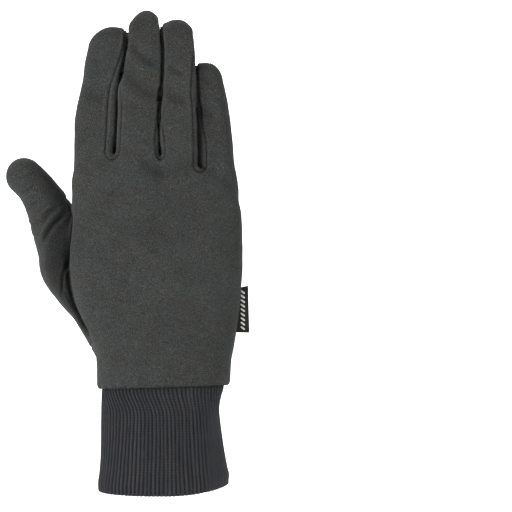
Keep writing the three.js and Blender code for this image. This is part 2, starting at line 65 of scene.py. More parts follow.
# The slits between the fingers, seen from the back: middle line and width by height.
INDEX_MIDDLE_SLIT = table(
    "z x gap",
    (184, -27.7, 2.0),
    (193, -27.4, 1.9),
    (203, -26.7, 1.3),
    (213, -26.2, 1.0),
    (227, -25.7, 0.95),
    (238, -23.7, 0.95),
    (249, -21.5, 0.95),
    (255, -20.9, 0.95),
    (261, -21.3, 0.95),
)
MIDDLE_RING_SLIT = table(
    "z x gap",
    (184, -2.2, 2.5),
    (191, -2.2, 2.5),
    (196, -2.6, 1.7),
    (201, -2.9, 1.0),
    (215, -2.7, 0.95),
    (227, -1.7, 0.95),
    (238, -0.9, 0.95),
    (249, -0.9, 0.95),
    (255, -1.3, 0.95),
    (262, -1.9, 0.95),
)
RING_LITTLE_SLIT = table(
    "z x gap",
    (178, 20.0, 3.2),
    (190, 20.0, 3.2),
    (203, 19.9, 2.8),
    (214, 19.4, 1.9),
    (224, 18.5, 1.4),
    (236, 17.9, 1.3),
    (243, 17.5, 1.3),
)
SLITS = (INDEX_MIDDLE_SLIT, MIDDLE_RING_SLIT, RING_LITTLE_SLIT)
# Each slit bends behind one of its fingers halfway through the hand and narrows there, as fingers
# lie against each other. The bend starts at a depth under the back, and fades between two heights,
# where the shorter finger ends. The last three columns are painted light and shade: the first is how
# much painted light pales the walls of the slit, reach is how far from the slit, and shade is painted
# shade on the finger on its right.
SLIT_BENDS = table(
    "bend start fade fuzz reach shade",
    (2.4, 0.6, (259.0, 264.0), 0.9, 2.6, 0.0),
    (-2.4, 0.6, (261.0, 267.0), 1.5, 0.5, 0.0),
    (-2.4, -0.6, (239.0, 244.0), 0.1, 1.2, 0.28),
)
SLIT_FRONT = 4.5  # how far before the middle of the hand the slits start
SLIT_SWEEP = 4.7  # how much farther back they start at the fingertips
BEND_RUN = 4.5  # depth over which a slit bends
RETURN_START = 6.2  # depth at which it starts to turn straight again
RETURN_RUN = 4.4
DEEP_GAP = 0.95  # width of a slit at depth

# Outer edges of the index and little fingers, which run on from the palm's edges.
INDEX_OUTER_EDGE = table(
    "z x",
    (160, -50.6),
    (171, -50.8),
    (187, -50.4),
    (199, -50.4),
    (210, -50.3),
    (221, -48.2),
    (232, -45.7),
    (243, -44.2),
    (254, -41.9),
    (263, -40.0),
)
LITTLE_OUTER_EDGE = table(
    "z x",
    (150, 42.5),
    (165, 42.3),
    (177, 40.8),
    (188, 39.0),
    (199, 38.3),
    (216, 36.2),
    (227, 34.0),
    (234, 32.2),
    (242, 30.0),
)

# Each finger: top of its straight part, tip, lean of the tip, crotch height, and half thickness
# and offset to the palm as they change from root to tip.
FINGERS = table(
    "name left right root top tip lean round depth offset",
    ("index", None, 0, 186, 251.0, 262.8, 3.6, 2.3, (9.4, 9.1, 8.6, 7.9), (0.4, 0.9, 2.6, 5.2)),
    ("middle", 0, 1, 189, 258.5, 271.6, 1.6, 2.0, (10.0, 9.6, 9.0, 8.2), (-1.2, -0.8, 0.8, 3.6)),
    ("ring", 1, 2, 187, 254.5, 266.8, -1.2, 2.4, (9.6, 9.2, 8.6, 7.6), (-0.6, -0.2, 1.4, 4.2)),
    ("little", 2, None, 180, 232.0, 242.2, -2.4, 2.5, (8.4, 8.1, 7.6, 6.8), (1.6, 2.0, 3.4, 6.0)),
)

# Palm and back of the hand: edges and half thickness by height.
PALM = table(
    "z left right back palm",
    (56, -37.3, 36.2, 22.2, 22.4),
    (66, -37.5, 36.8, 22.2, 22.4),
    (75, -38.0, 37.6, 21.2, 22.2),
    (81, -38.9, 38.7, 20.5, 21.8),
    (87, -41.6, 39.7, 19.8, 21.2),
    (98, -47.0, 41.2, 18.5, 20.0),
    (109, -50.6, 42.3, 17.4, 18.8),
    (123, -53.1, 43.3, 16.4, 17.8),
    (136, -53.9, 43.7, 15.5, 16.6),
    (150, -53.0, 43.5, 14.2, 15.0),
    (160, -52.0, 43.1, 13.2, 13.6),
    (170, -51.4, 42.2, 12.0, 12.3),
    (182, -50.3, 40.2, 10.4, 11.0),
    (194, -49.6, 38.5, 9.0, 9.8),
)
ARCH_TOP = 192.1  # height of the knuckle arch, over the middle finger
ARCH_MIDDLE = -15.5
ARCH_FALL = 0.0064  # per millimetre squared to each side
PALM_DROP = 9.5  # how much lower the fingers start on the palm
FINGER_SQUARE = 4.2  # flat flanks, where fingers lie against each other
INDEX_FLANK = 1.6  # how much flatter the index finger is next to the middle finger
FINGER_ROUND = 2.4  # the outer sides of the index and little fingers

# Thumb: middle line from its ball to the middle of its tip, half width and half thickness
THUMB = table(
    "x y z half depth",
    (-31.0, 6.4, 88.0, 11.6, 11.5),
    (-39.0, 9.6, 104.5, 13.5, 12.6),
    (-49.2, 12.0, 118.2, 14.9, 12.6),
    (-55.2, 12.9, 127.2, 15.0, 12.3),
    (-57.7, 13.4, 137.0, 13.7, 11.9),
    (-61.9, 13.8, 151.3, 13.4, 11.4),
    (-66.7, 13.5, 162.9, 12.2, 10.8),
    (-72.6, 12.7, 172.2, 10.9, 10.2),
    (-78.9, 11.5, 178.7, 10.5, 9.7),
)
THUMB_TIP = 10.8  # length of the rounded tip
THUMB_BALL = 12.0  # length of the rounded end inside the palm
THUMB_SQUARE = 2.2  # how square the thumb is across

# Seams of the set-in thumb: along the palm's edge on the back, and round its ball on the palm
THUMB_SEAM_BACK = (
    (-58.0, 205.0), (-54.5, 172.0), (-52.8, 159.4), (-53.0, 151.0), (-53.9, 142.8),
    (-54.5, 132.7), (-54.0, 124.0), (-53.0, 115.5), (-51.0, 106.5), (-47.3, 97.8),
    (-43.4, 90.6), (-41.2, 85.4), (-47.0, 80.5), (-70.0, 74.0),
)
THUMB_SEAM_PALM = (
    (-58.0, 205.0), (-55.5, 172.0), (-52.6, 158.5), (-45.5, 147.5), (-36.0, 136.5),
    (-28.0, 126.5), (-23.0, 116.0), (-22.0, 106.0), (-24.6, 96.5), (-30.0, 88.2),
    (-37.5, 83.6), (-47.0, 80.5), (-70.0, 74.0),
)

# Strips between the fingers. On each face: the distance from the slit to the seam on its left and
# right, and the heights between which that seam turns into the slit. bend is where the seam starts
# to turn round the crotch, and dip is how far it runs below that.
STRIPS = (
    {"name": "fourchette_index_middle", "bend": 191.6, "dip": 4.3,
     "back": {"left": (5.3, 214, 262), "right": (2.5, 216, 236)},
     "palm": {"left": (2.5, 206, 216), "right": (2.4, 197, 207)}},
    {"name": "fourchette_middle_ring", "bend": 191.2, "dip": 3.7,
     "back": {"left": (2.3, 196, 212), "right": (2.9, 198, 212)},
     "palm": {"left": (2.3, 198, 208), "right": (5.0, 246, 265)}},
    {"name": "fourchette_ring_little", "bend": 185.0, "dip": 4.6,
     "back": {"left": (3.5, 222, 256), "right": (3.7, 193, 209)},
     "palm": {"left": (3.2, 195, 206), "right": (5.6, 213, 228)}},
)

# Folds of the cloth. side: -1 on the back, 1 on the palm. Each runs from one point to another, in
# x and z. ridge: how much the cloth rises beside the fold.
FOLDS = table(
    "side start end depth width ridge",
    (-1, (-57.0, 156.5), (-67.8, 142.8), 1.8, 1.5, 0.45),
    (-1, (-60.5, 161.0), (-68.0, 153.0), 1.3, 1.6, 0.45),
    (-1, (-53.9, 131.5), (-57.2, 113.5), 1.1, 0.8, 0.35),
    (-1, (-80.2, 169.8), (-73.5, 172.4), 0.8, 1.2, 0.4),
    (-1, (-77.8, 161.6), (-71.0, 164.4), 0.7, 1.2, 0.4),
    (-1, (-75.4, 151.2), (-69.4, 154.0), 0.8, 1.2, 0.4),
    (-1, (-73.5, 144.6), (-68.0, 147.4), 0.6, 1.2, 0.4),
    (-1, (-17.6, 250.6), (-4.5, 240.2), 1.3, 2.4, 0.25),
    (-1, (-21.8, 236.6), (-3.6, 222.6), 1.2, 3.6, 0.15),
    (-1, (3.4, 238.7), (10.4, 235.2), 1.2, 1.6, 0.3),
    (-1, (1.7, 224.0), (12.3, 220.6), 0.9, 3.2, 0.1),
    (-1, (-12.3, 185.9), (0.6, 178.6), 1.4, 4.5, 0.1),
    (-1, (3.4, 180.4), (16.4, 185.4), 0.9, 3.6, 0.1),
    (-1, (-44.2, 225.7), (-33.6, 221.8), 0.7, 3.6, 0.1),
    (-1, (20.4, 234.0), (27.0, 230.4), 0.7, 2.4, 0.1),
    (-1, (18.5, 216.7), (27.0, 211.0), 0.9, 3.6, 0.1),
    (-1, (-20.0, 158.0), (2.0, 150.0), 0.35, 6.0, 0.1),
    (-1, (6.0, 132.0), (24.0, 122.0), 0.35, 6.0, 0.1),
    (1, (-1.7, 166.9), (-20.2, 176.4), 0.9, 3.0, 0.3),
    (1, (-14.0, 145.5), (-33.6, 155.1), 1.2, 3.0, 0.35),
    (1, (-33.6, 137.2), (-47.6, 145.6), 1.3, 2.5, 0.3),
    (1, (23.5, 156.8), (3.9, 170.8), 0.8, 3.6, 0.3),
    (1, (-37.0, 161.0), (-46.5, 148.0), 2.0, 5.0, 0.1),
    (1, (-44.0, 118.0), (-31.0, 128.0), 0.6, 3.5, 0.2),
)

# Hem and seams, in millimetres
HEM_TUBE = 3.2  # height of the rolled hem
HEM_PUCKER = 0.3  # depth of the gathers at the hem
SEAM_STITCH = 1.5  # spacing of the dark stitches along a seam
SEAM_DRAW = 1.9  # spacing of the places where a seam draws deepest

# Rib cuff: edges and half thickness by height
CUFF = table(
    "z left right back palm",
    (4, -37.0, 36.3, 22.6, 22.8),
    (7, -37.0, 36.6, 22.5, 22.7),
    (11, -36.4, 35.8, 22.1, 22.3),
    (18, -35.8, 34.7, 21.4, 21.6),
    (30, -35.4, 33.1, 20.3, 20.5),
    (42, -35.3, 31.5, 19.7, 19.9),
    (49, -35.2, 31.0, 19.5, 19.7),
    (55, -35.1, 32.0, 19.4, 19.6),
    (60, -34.8, 33.6, 19.2, 19.4),
    (66, -34.6, 33.8, 19.0, 19.2),
)


CUFF_EDGE = 1.5  # height of the cuff's bottom
CUFF_WALL = 2.3  # thickness of its two layers
CUFF_STITCH = 1.5  # height of one knit stitch
LABEL_BOTTOM = 90.9  # height of the label's lower edge
LABEL_MIDDLE = 104  # height at which the label is set against the side seam
LABEL_THICK = 0.42  # thickness of the tape, and the radius of its fold


def length(name, description, default, **limits):
    """A length for the panel, in metres"""
    return bpy.props.FloatProperty(
        name=name, description=description, default=default, unit="LENGTH", **limits
    )


def colour(name, description, default):
    """A colour for the panel"""
    return bpy.props.FloatVectorProperty(
        name=name, description=description, subtype="COLOR", default=default, min=0, max=1
    )


class GloveSizes(bpy.types.PropertyGroup):
    """Sizes of the cloth pieces"""

    mesh_step: length("Mesh Step", "Distance between the points of the shell's mesh", 0.00079, min=0.0004)
    seam_depth: length("Seam Depth", "How deep a seam draws the cloth in", 0.0008)
    seam_puff: length("Seam Puff", "How far the cloth stands up beside a seam", 0.00032)
    fold_strength: bpy.props.FloatProperty(
        name="Fold Strength",
        description="Depth of the folds, as a share of the depths in their table",
        default=1.0,
    )
    hem_height: length("Hem Height", "Height of the hem seam at the middle of the wrist", 0.0604)
    hem_roll: length("Hem Roll", "How far the shell curves in to the hem seam", 0.0017)
    rib_count: bpy.props.IntProperty(
        name="Ribs", description="Number of ribs round the cuff", default=84, min=20
    )
    rib_depth: length("Rib Depth", "Depth of the grooves between the cuff's ribs", 0.0009)
    rib_slant: length("Rib Slant", "How far the ribs run sideways below the hem seam", 0.0045)
    label_height: length("Label Height", "Height of the loop label", 0.0252)
    label_reach: length("Label Reach", "How far the label stands out of the side seam", 0.0052)


class GloveColours(bpy.types.PropertyGroup):
    """Colours of the cloth pieces and the studio"""

    cloth: colour("Brushed Knit", "Main colour of the shell", (0.0248, 0.0257, 0.0250))
    cloth_fibre: colour("Pale Fibre", "Colour of the paler fibres in the shell", (0.083, 0.086, 0.084))
    rib: colour("Rib Knit", "Colour of the cuff", (0.031, 0.0316, 0.036))
    label: colour("Label Tape", "Colour of the label's tape", (0.006, 0.006, 0.006))
    thread: colour("Label Thread", "Colour of the slanted stitches on the label", (0.88, 0.88, 0.85))
    studio: colour("Studio", "Colour of the floor", (0.9, 0.9, 0.9))


def column(rows, key, at, by="z"):
    """One column of a table at any height, on a smooth curve through its rows"""
    place = np.array([row[by] for row in rows], float)
    value = np.array([row[key] for row in rows], float)
    slope = np.empty_like(value)
    slope[1:-1] = (value[2:] - value[:-2]) / (place[2:] - place[:-2])
    slope[0] = (value[1] - value[0]) / (place[1] - place[0])
    slope[-1] = (value[-1] - value[-2]) / (place[-1] - place[-2])
    at = np.clip(at, place[0], place[-1])
    i = np.clip(np.searchsorted(place, at, side="right") - 1, 0, len(place) - 2)
    span = place[i + 1] - place[i]
    t = (at - place[i]) / span
    return (
        (2 * t**3 - 3 * t**2 + 1) * value[i]
        + (t**3 - 2 * t**2 + t) * span * slope[i]
        + (3 * t**2 - 2 * t**3) * value[i + 1]
        + (t**3 - t**2) * span * slope[i + 1]
    )


def ease(t):
    """A soft step from 0 to 1"""
    t = np.clip(t, 0, 1)
    return t * t * (3 - 2 * t)


def bump_at(value, width):
    """1 where the value is 0, falling off softly over about the width"""
    return np.exp(-((value / width) ** 2))


def soft_min(a, b, reach):
    """The lower of two fields, rounded off where they meet"""
    h = np.clip(0.5 + 0.5 * (b - a) / reach, 0, 1)
    return b + (a - b) * h - reach * h * (1 - h)


def ripple(points, size, seed):
    """Smooth random waves of about the given size, between -1 and 1"""
    rng = np.random.default_rng(seed)
    total = np.zeros(len(points))
    for _ in range(14):
        direction = rng.normal(size=3)
        direction /= np.linalg.norm(direction)
        wave = 2 * np.pi / (size * rng.uniform(0.7, 1.6))
        total += np.sin(points @ direction * wave + rng.uniform(0, 2 * np.pi))
    return total / 6


HEIGHTS = np.arange(120.0, 276.0, 0.25)


@lru_cache(maxsize=None)
def finger_sections():
    """Edges of each finger with their bend and closing in the slits, half thickness and offset"""
    sections = []
    for finger in FINGERS:
        z = np.minimum(HEIGHTS, finger["top"])
        edges = []
        for side, outer, sign in (("left", INDEX_OUTER_EDGE, 1), ("right", LITTLE_OUTER_EDGE, -1)):
            if finger[side] is None:
                edges += [column(outer, "x", z), np.zeros_like(z), np.zeros_like(z)]
                continue
            slit, bent = SLITS[finger[side]], SLIT_BENDS[finger[side]]
            gap = column(slit, "gap", z)
            low, high = bent["fade"]
            edges += [
                column(slit, "x", z) + sign * gap / 2,
                bent["bend"] * (1 - ease((HEIGHTS - low) / (high - low))),
                -sign * np.clip(gap - DEEP_GAP, 0, None) / 2,
            ]
        steps = np.linspace(0, 1, 4)
        along = (HEIGHTS - finger["root"]) / (finger["tip"] - finger["root"])
        rows = [
            {"z": s, "depth": d, "offset": o}
            for s, d, o in zip(steps, finger["depth"], finger["offset"])
        ]
        top = (finger["top"] - finger["root"]) / (finger["tip"] - finger["root"])
        depth = column(rows, "depth", np.minimum(along, top))
        offset = column(rows, "offset", along)
        # The tube runs on into the hand, and narrows there so that it ends inside
        share = 1 - 0.4 * ease((finger["root"] - 9 - HEIGHTS) / 16)
        sections.append((*edges, share, depth * share, offset))
    return sections


def depth_in_slit(y, z):
    """How far a point lies behind the front of the slits, in millimetres"""
    return y + SLIT_FRONT - SLIT_SWEEP * np.clip((z - 190) / 80, 0, 1) ** 2


def finger_field(number, x, y, z):
    """Below 0 inside a finger, and about the distance in millimetres outside it"""
    finger = FINGERS[number]
    columns = finger_sections()[number]
    left, left_bend, left_closing, right, right_bend, right_closing, share, depth, offset = (
        np.interp(z, HEIGHTS, c) for c in columns
    )
    inward = depth_in_slit(y, z)
    closed = ease(inward / 5 + 0.4)
    back = ease((inward - RETURN_START) / RETURN_RUN)

    def at_depth(edge, bend, closing, slit):
        """An edge of the finger, moved as its slit bends and narrows"""
        if slit is None:
            return edge
        bent = ease((inward - SLIT_BENDS[slit]["start"]) / BEND_RUN) - back
        return edge + bend * bent + closing * closed

    left = at_depth(left, left_bend, left_closing, finger["left"])
    right = at_depth(right, right_bend, right_closing, finger["right"])
    half = (right - left) / 2 * share
    rise = np.clip((z - finger["top"]) / (finger["tip"] - finger["top"]), 0, None)
    dx = x - (left + right) / 2 - finger["lean"] * np.minimum(rise, 1) ** 1.3
    dy = y - offset
    left_square = FINGER_ROUND if finger["left"] is None else FINGER_SQUARE
    flank = FINGER_SQUARE + INDEX_FLANK * (number == 0)
    right_square = FINGER_ROUND if finger["right"] is None else flank
    square = np.where(dx < 0, left_square, right_square)
    square = FINGER_ROUND + (square - FINGER_ROUND) * (1 - ease((z - finger["top"] - 3) / 8))
    across = ((np.abs(dx) / half) ** square + (np.abs(dy) / depth) ** square) ** (1 / square)
    dome = finger["round"]
    # 1 on the surface, so that the field is 0 there and about a distance near it
    share = (across**dome + rise**dome) ** (1 / dome) + 1e-9
    reach = np.sqrt(dx**2 + dy**2 + np.clip(z - finger["top"], 0, None) ** 2)
    field = reach * (1 - 1 / share)
    return np.maximum(field, finger["root"] - 26 - z)


def to_palm(y):
    """0 on the back of the fingers and 1 on their palm side"""
    return (y + 9.7) / 19.4


def arch(x):
    """Height of the crotch between two fingers, on the back of the hand"""
    return ARCH_TOP - ARCH_FALL * (x - ARCH_MIDDLE) ** 2


def palm_field(x, y, z):
    """Below 0 inside the palm"""
    left, right = column(PALM, "left", z), column(PALM, "right", z)
    depth = np.where(y < 0, column(PALM, "back", z), column(PALM, "palm", z))
    square = 2.35 + 0.6 * ease((z - 110) / 70)
    dx = x - (left + right) / 2
    half = (right - left) / 2
    share = ((np.abs(dx) / half) ** square + (np.abs(y) / depth) ** square) ** (1 / square)
    side = np.sqrt(dx**2 + y**2) * (1 - 1 / (share + 1e-9))
    crown = z - arch(x) + PALM_DROP * to_palm(y) + np.where(y < 0, 0.005, 0.035) * y**2
    # Both bounds hold, and the edge between them is rounded
    return -soft_min(-side, -crown * 0.8, 7.0)


@lru_cache(maxsize=None)
def thumb_axis():
    """Points along the thumb's middle line, with its half width and thickness, direction and steps"""
    count = 96
    place = np.linspace(0, len(THUMB) - 1, count)
    rows = [dict(row, n=n) for n, row in enumerate(THUMB)]
    x, y, z, half, depth = (column(rows, key, place, "n") for key in ("x", "y", "z", "half", "depth"))
    step = np.hypot(np.gradient(x), np.gradient(z))
    return x, y, z, half, depth, np.gradient(x) / step, np.gradient(z) / step, step


def thumb_field(x, y, z):
    """Below 0 inside the thumb"""
    axis = thumb_axis()
    ax, az, ahead_x, ahead_z, step = axis[0], axis[2], axis[5], axis[6], axis[7]
    nearest = np.full(np.shape(x), 1e18)
    index = np.zeros(np.shape(x), int)
    for n in range(len(ax)):
        gap = (x - ax[n]) ** 2 + (z - az[n]) ** 2
        closer = gap < nearest
        nearest = np.where(closer, gap, nearest)
        index = np.where(closer, n, index)
    along = (x - ax[index]) * ahead_x[index] + (z - az[index]) * ahead_z[index]
    place = np.clip(index + along / step[index], 0, len(ax) - 1)
    ax, ay, az, half, depth, ahead_x, ahead_z = (
        np.interp(place, np.arange(len(step)), values) for values in axis[:7]
    )
    dx, dy, dz = x - ax, y - ay, z - az
    along = dx * ahead_x + dz * ahead_z
    sideways = dx * ahead_z - dz * ahead_x
    last = place == len(step) - 1
    first = place == 0
    beyond = np.where(last, np.clip(along, 0, None) / THUMB_TIP, 0)
    beyond = np.where(first, np.clip(-along, 0, None) / THUMB_BALL, beyond)
    across = (np.abs(sideways) / half) ** THUMB_SQUARE + (np.abs(dy) / depth) ** THUMB_SQUARE
    share = np.sqrt(across ** (2 / THUMB_SQUARE) + beyond**2) + 1e-9
    tail = np.where(last | first, along, 0)
    reach = np.sqrt(sideways**2 + dy**2 + tail**2)
    return reach * (1 - 1 / share)


def hand_field(x, y, z, thumb=True):
    """Below 0 inside the whole hand"""
    fingers = finger_field(0, x, y, z)
    for number in range(1, len(FINGERS)):
        fingers = np.minimum(fingers, finger_field(number, x, y, z))
    field = soft_min(palm_field(x, y, z), fingers, 3.6)
    if not thumb:
        return field
    # The thumb meets the palm softly, and tucks in sharply behind the edge of the back
    reach = 1.2 + 6.5 * ease((y - 1) / 9) * (1 - 0.8 * ease((z - 142) / 14))
    return soft_min(field, thumb_field(x, y, z), reach)


def field_at(points):
    """The hand's field at a list of points, without the thumb where it is far off"""
    x, y, z = points.T
    near = (x < -8) & (z > 68)
    field = np.empty(len(points))
    field[near] = hand_field(x[near], y[near], z[near])
    field[~near] = hand_field(x[~near], y[~near], z[~near], thumb=False)
    return field


def slope_at(points, step=0.15):
    """Direction in which the hand's field rises fastest"""
    slope = np.empty_like(points)
    for axis in range(3):
        move = np.zeros(3)
        move[axis] = step
        slope[:, axis] = (field_at(points + move) - field_at(points - move)) / (2 * step)
    return slope


def settle(points, rounds):
    """Moves points onto the surface of the hand"""
    for _ in range(rounds):
        slope = slope_at(points)
        steep = np.maximum((slope**2).sum(1), 0.05)
        move = np.clip(field_at(points) / steep, -0.8, 0.8)
        points = points - move[:, None] * slope
    return points


def surface_net(low, high, step):
    """Quads over the surface of the hand, with one point in each cell of a grid that it crosses"""
    axes = [np.arange(low[k], high[k] + step[k], step[k]) for k in range(3)]
    x, y, z = np.meshgrid(*axes, indexing="ij", sparse=False)
    field = np.empty(x.shape)
    thumb_end = int(np.searchsorted(axes[0], -8))
    field[:thumb_end] = hand_field(x[:thumb_end], y[:thumb_end], z[:thumb_end])
    field[thumb_end:] = hand_field(x[thumb_end:], y[thumb_end:], z[thumb_end:], thumb=False)
    inside = field < 0
    count = np.zeros(tuple(n - 1 for n in field.shape), int)
    corners = [(i, j, k) for i in (0, 1) for j in (0, 1) for k in (0, 1)]

    def shifted(grid, corner):
        return grid[tuple(slice(c, grid.shape[a] - 1 + c) for a, c in enumerate(corner))]

    for corner in corners:
        count += shifted(inside, corner)
    active = (count > 0) & (count < 8)
    cells = np.argwhere(active)
    number = np.full(active.shape, -1)
    number[active] = np.arange(len(cells))
    values = np.stack([shifted(field, corner)[active] for corner in corners], axis=1)
    total = np.zeros((len(cells), 3))
    crossings = np.zeros(len(cells))
    for a, first in enumerate(corners):
        for b, second in enumerate(corners):
            if b <= a or sum(abs(p - q) for p, q in zip(first, second)) != 1:
                continue
            crossed = (values[:, a] < 0) != (values[:, b] < 0)
            va, vb = values[crossed, a], values[crossed, b]
            t = (va / (va - vb))[:, None]
            start = np.array(first, float)
            total[crossed] += start + t * (np.array(second) - start)
            crossings[crossed] += 1
    points = np.array(low) + np.array(step) * (cells + total / crossings[:, None])
    quads = []
    for axis in range(3):
        before = [slice(1, -1)] * 3
        after = [slice(1, -1)] * 3
        before[axis] = slice(0, -1)
        after[axis] = slice(1, None)
        a, b = inside[tuple(before)], inside[tuple(after)]
        for flip, changed in ((False, a & ~b), (True, b & ~a)):
            place = np.argwhere(changed)
            offset = np.ones(3, int)
            offset[axis] = 0
            place = place + offset
            u, v = (k for k in range(3) if k != axis)
            ring = []
            for du, dv in ((1, 1), (0, 1), (0, 0), (1, 0)):
                cell = place.copy()
                cell[:, u] -= du
                cell[:, v] -= dv
                ring.append(number[cell[:, 0], cell[:, 1], cell[:, 2]])
            quad = np.stack(ring, axis=1)
            if flip != (axis == 1):
                quad = quad[:, ::-1]
            quads.append(quad)
    return points, np.concatenate(quads)


def even_out(points, quads, rounds):
    """Slides points along the surface towards the middle of their neighbours"""
    a = np.concatenate([quads[:, k] for k in range(4)])
    b = np.concatenate([quads[:, (k + 1) % 4] for k in range(4)])
    for _ in range(rounds):
        count = np.bincount(a, minlength=len(points)) + np.bincount(b, minlength=len(points))
        middle = np.empty_like(points)
        for axis in range(3):
            total = np.bincount(a, points[b, axis], len(points))
            total += np.bincount(b, points[a, axis], len(points))
            middle[:, axis] = total / count
        points = settle(points + 0.6 * (middle - points), 1)
    return points


def split_along(points, triangles, value):
    """Cuts each triangle that the zero line of value crosses, so that the line follows edges"""
    sign = np.sign(value)
    corner = sign[triangles]
    crossing = (corner.max(1) > 0) & (corner.min(1) < 0)
    kept = triangles[~crossing]
    cut = triangles[crossing]
    corner = corner[crossing]
    on_line = (corner == 0).any(1)
    more = (corner > 0).sum(1)
    alone = np.where(more == 1, np.argmax(corner > 0, axis=1), np.argmax(corner < 0, axis=1))
    alone = np.where(on_line, np.argmax(corner == 0, axis=1), alone)
    rows = np.arange(len(cut))
    cut = np.stack([cut[rows, (alone + k) % 3] for k in range(3)], axis=1)
    whole, half = cut[~on_line], cut[on_line]
    pairs = np.concatenate([whole[:, [0, 1]], whole[:, [0, 2]], half[:, [1, 2]]])
    keys, place = np.unique(np.sort(pairs, axis=1), axis=0, return_inverse=True)
    place = place.reshape(-1)
    a, b = keys.T
    t = value[a] / (value[a] - value[b])
    added = points[a] + t[:, None] * (points[b] - points[a])
    new = len(points) + place
    first, second, third = np.split(new, [len(whole), 2 * len(whole)])
    parts = [
        kept,
        np.stack([whole[:, 0], first, second], axis=1),
        np.stack([first, whole[:, 1], whole[:, 2]], axis=1),
        np.stack([first, whole[:, 2], second], axis=1),
        np.stack([half[:, 0], half[:, 1], third], axis=1),
        np.stack([half[:, 0], third, half[:, 2]], axis=1),
    ]
    return np.concatenate([points, added]), np.concatenate(parts)


@lru_cache(maxsize=None)
def smooth_line(line):
    """An open line with rounded corners, as short straight steps"""
    rows = [{"n": n, "x": p[0], "z": p[1]} for n, p in enumerate(line)]
    place = np.linspace(0, len(line) - 1, 3 * (len(line) - 1) + 1)
    return np.stack([column(rows, "x", place, "n"), column(rows, "z", place, "n")], axis=1)


def line_distance(line, x, z):
    """Distance to an open line in x and z, above 0 on its left hand"""
    best = np.full(np.shape(x), 1e9)
    side = np.zeros(np.shape(x))
    steps = smooth_line(line)
    for (ax, az), (bx, bz) in zip(steps[:-1], steps[1:]):
        dx, dz = bx - ax, bz - az
        t = np.clip(((x - ax) * dx + (z - az) * dz) / (dx**2 + dz**2), 0, 1)
        ex, ez = x - ax - t * dx, z - az - t * dz
        gap = np.hypot(ex, ez)
        closer = gap < best
        best = np.where(closer, gap, best)
        side = np.where(closer, np.sign(dx * ez - dz * ex), side)
    return best * side


def thumb_seam(points):
    """How far inside the thumb's seam each point lies"""
    x, y, z = points.T
    near = (x < 0) & (z > 60)
    distance = np.full(len(points), -50.0)
    back = -line_distance(THUMB_SEAM_BACK, x[near], z[near])
    palm = -line_distance(THUMB_SEAM_PALM, x[near], z[near])
    # The seam passes from its line on the back to its line on the palm within a few millimetres
    share = ease((y[near] - 0.5) / 4.5)
    distance[near] = back + (palm - back) * share
    return distance


def strip_seam(number, points):
    """How far inside the seam of a strip between two fingers each point lies"""
    strip = STRIPS[number]
    x, y, z = points.T
    slit = column(SLITS[number], "x", z)
    top = max(FINGERS[number]["tip"], FINGERS[number + 1]["tip"])
    # The crotch lies lower on the palm than on the back
    fade = np.clip((top - z) / (top - strip["bend"]), 0, 1.3)
    level = z + PALM_DROP * ease((y + 5) / 12) * fade
    # The strip changes over from its back to its palm at the middle of the finger's thickness
    middle = 0.9 + 2.2 * np.clip((z - 190) / 70, 0, 1)
    share = ease((y - middle + 2.0) / 4.0)
    edge = column(SLITS[number], "gap", z) / 2 + 0.1
    widths = []
    for side in ("left", "right"):
        faces = []
        for face in ("back", "palm"):
            width, low, high = strip[face][side]
            faces.append(edge + (width - edge) * (1 - ease((z - low) / (high - low))))
        widths.append(faces[0] + (faces[1] - faces[0]) * share)
    left, right = widths
    centre = slit + (right - left) / 2
    half = (left + right) / 2
    straight = half - np.abs(x - centre)
    below = np.clip(strip["bend"] - level, 0, None) / strip["dip"]
    turned = (1 - np.hypot((x - centre) / half, below)) * half
    return np.where(level < strip["bend"], turned, straight)


def side_seam(points):
    """Distance to the seam that closes the shell on the little finger's side"""
    x, y, z = points.T
    line = 0.8 + 3.6 * ease((z - 180) / 60)
    inner = column(PALM, "right", z) - 13
    return np.where(x > inner, y - line, 30.0)


def seam_functions():
    """Every seam of the shell by its piece's name"""
    seams = {"thumb": thumb_seam, "side": side_seam}
    for number, strip in enumerate(STRIPS):
        seams[strip["name"]] = lambda points, n=number: strip_seam(n, points)
    return seams


def true_distance(seam, points):
    """A seam function scaled so that it measures distance over the cloth"""
    value = seam(points)
    step = 0.2
    slope = np.zeros(len(points))
    for axis in (0, 1, 2):
        move = np.zeros(3)
        move[axis] = step
        slope += ((seam(points + move) - seam(points - move)) / (2 * step)) ** 2
    return value / np.clip(np.sqrt(slope), 0.6, 4)


def hem_level(x, y, sizes):
    """Height of the hem seam, which waves and rises a little to the little finger's side"""
    wave = np.sin(1.7 * x + 1.4 * np.sin(0.6 * x))
    return sizes.hem_height / MM + 0.03 * x - 0.05 * y + 0.18 * wave


def fold_depth(points):
    """How deep the folds draw the cloth in, below 0 on the ridges beside them"""
    x, y, z = points.T
    depth = np.zeros(len(points))
    # Folds of the back reach farther round the thumb than round the rest of the hand
    middle = np.where(x < -52, 10.0 + 6.0 * ease((-64 - x) / 6), 1.0)
    for fold in FOLDS:
        (ax, az), (bx, bz) = fold["start"], fold["end"]
        length = np.hypot(bx - ax, bz - az)
        ux, uz = (bx - ax) / length, (bz - az) / length
        along = ((x - ax) * ux + (z - az) * uz) / length
        # The fold bends a little, as cloth does
        bow = 0.06 * length * np.sin(np.clip(along, 0, 1) * np.pi)
        across = ((x - ax) * uz - (z - az) * ux - bow) / fold["width"]
        ends = ease((along + 0.25) / 0.45) * ease((1.25 - along) / 0.45)
        shape = bump_at(across, 1) - fold["ridge"] * np.exp(-((np.abs(across) - 1.9) ** 2) * 1.4)
        facing = ease(((y - middle) * fold["side"]) / 3.5 + 0.2)
        depth += fold["depth"] * shape * ends * facing
    return depth


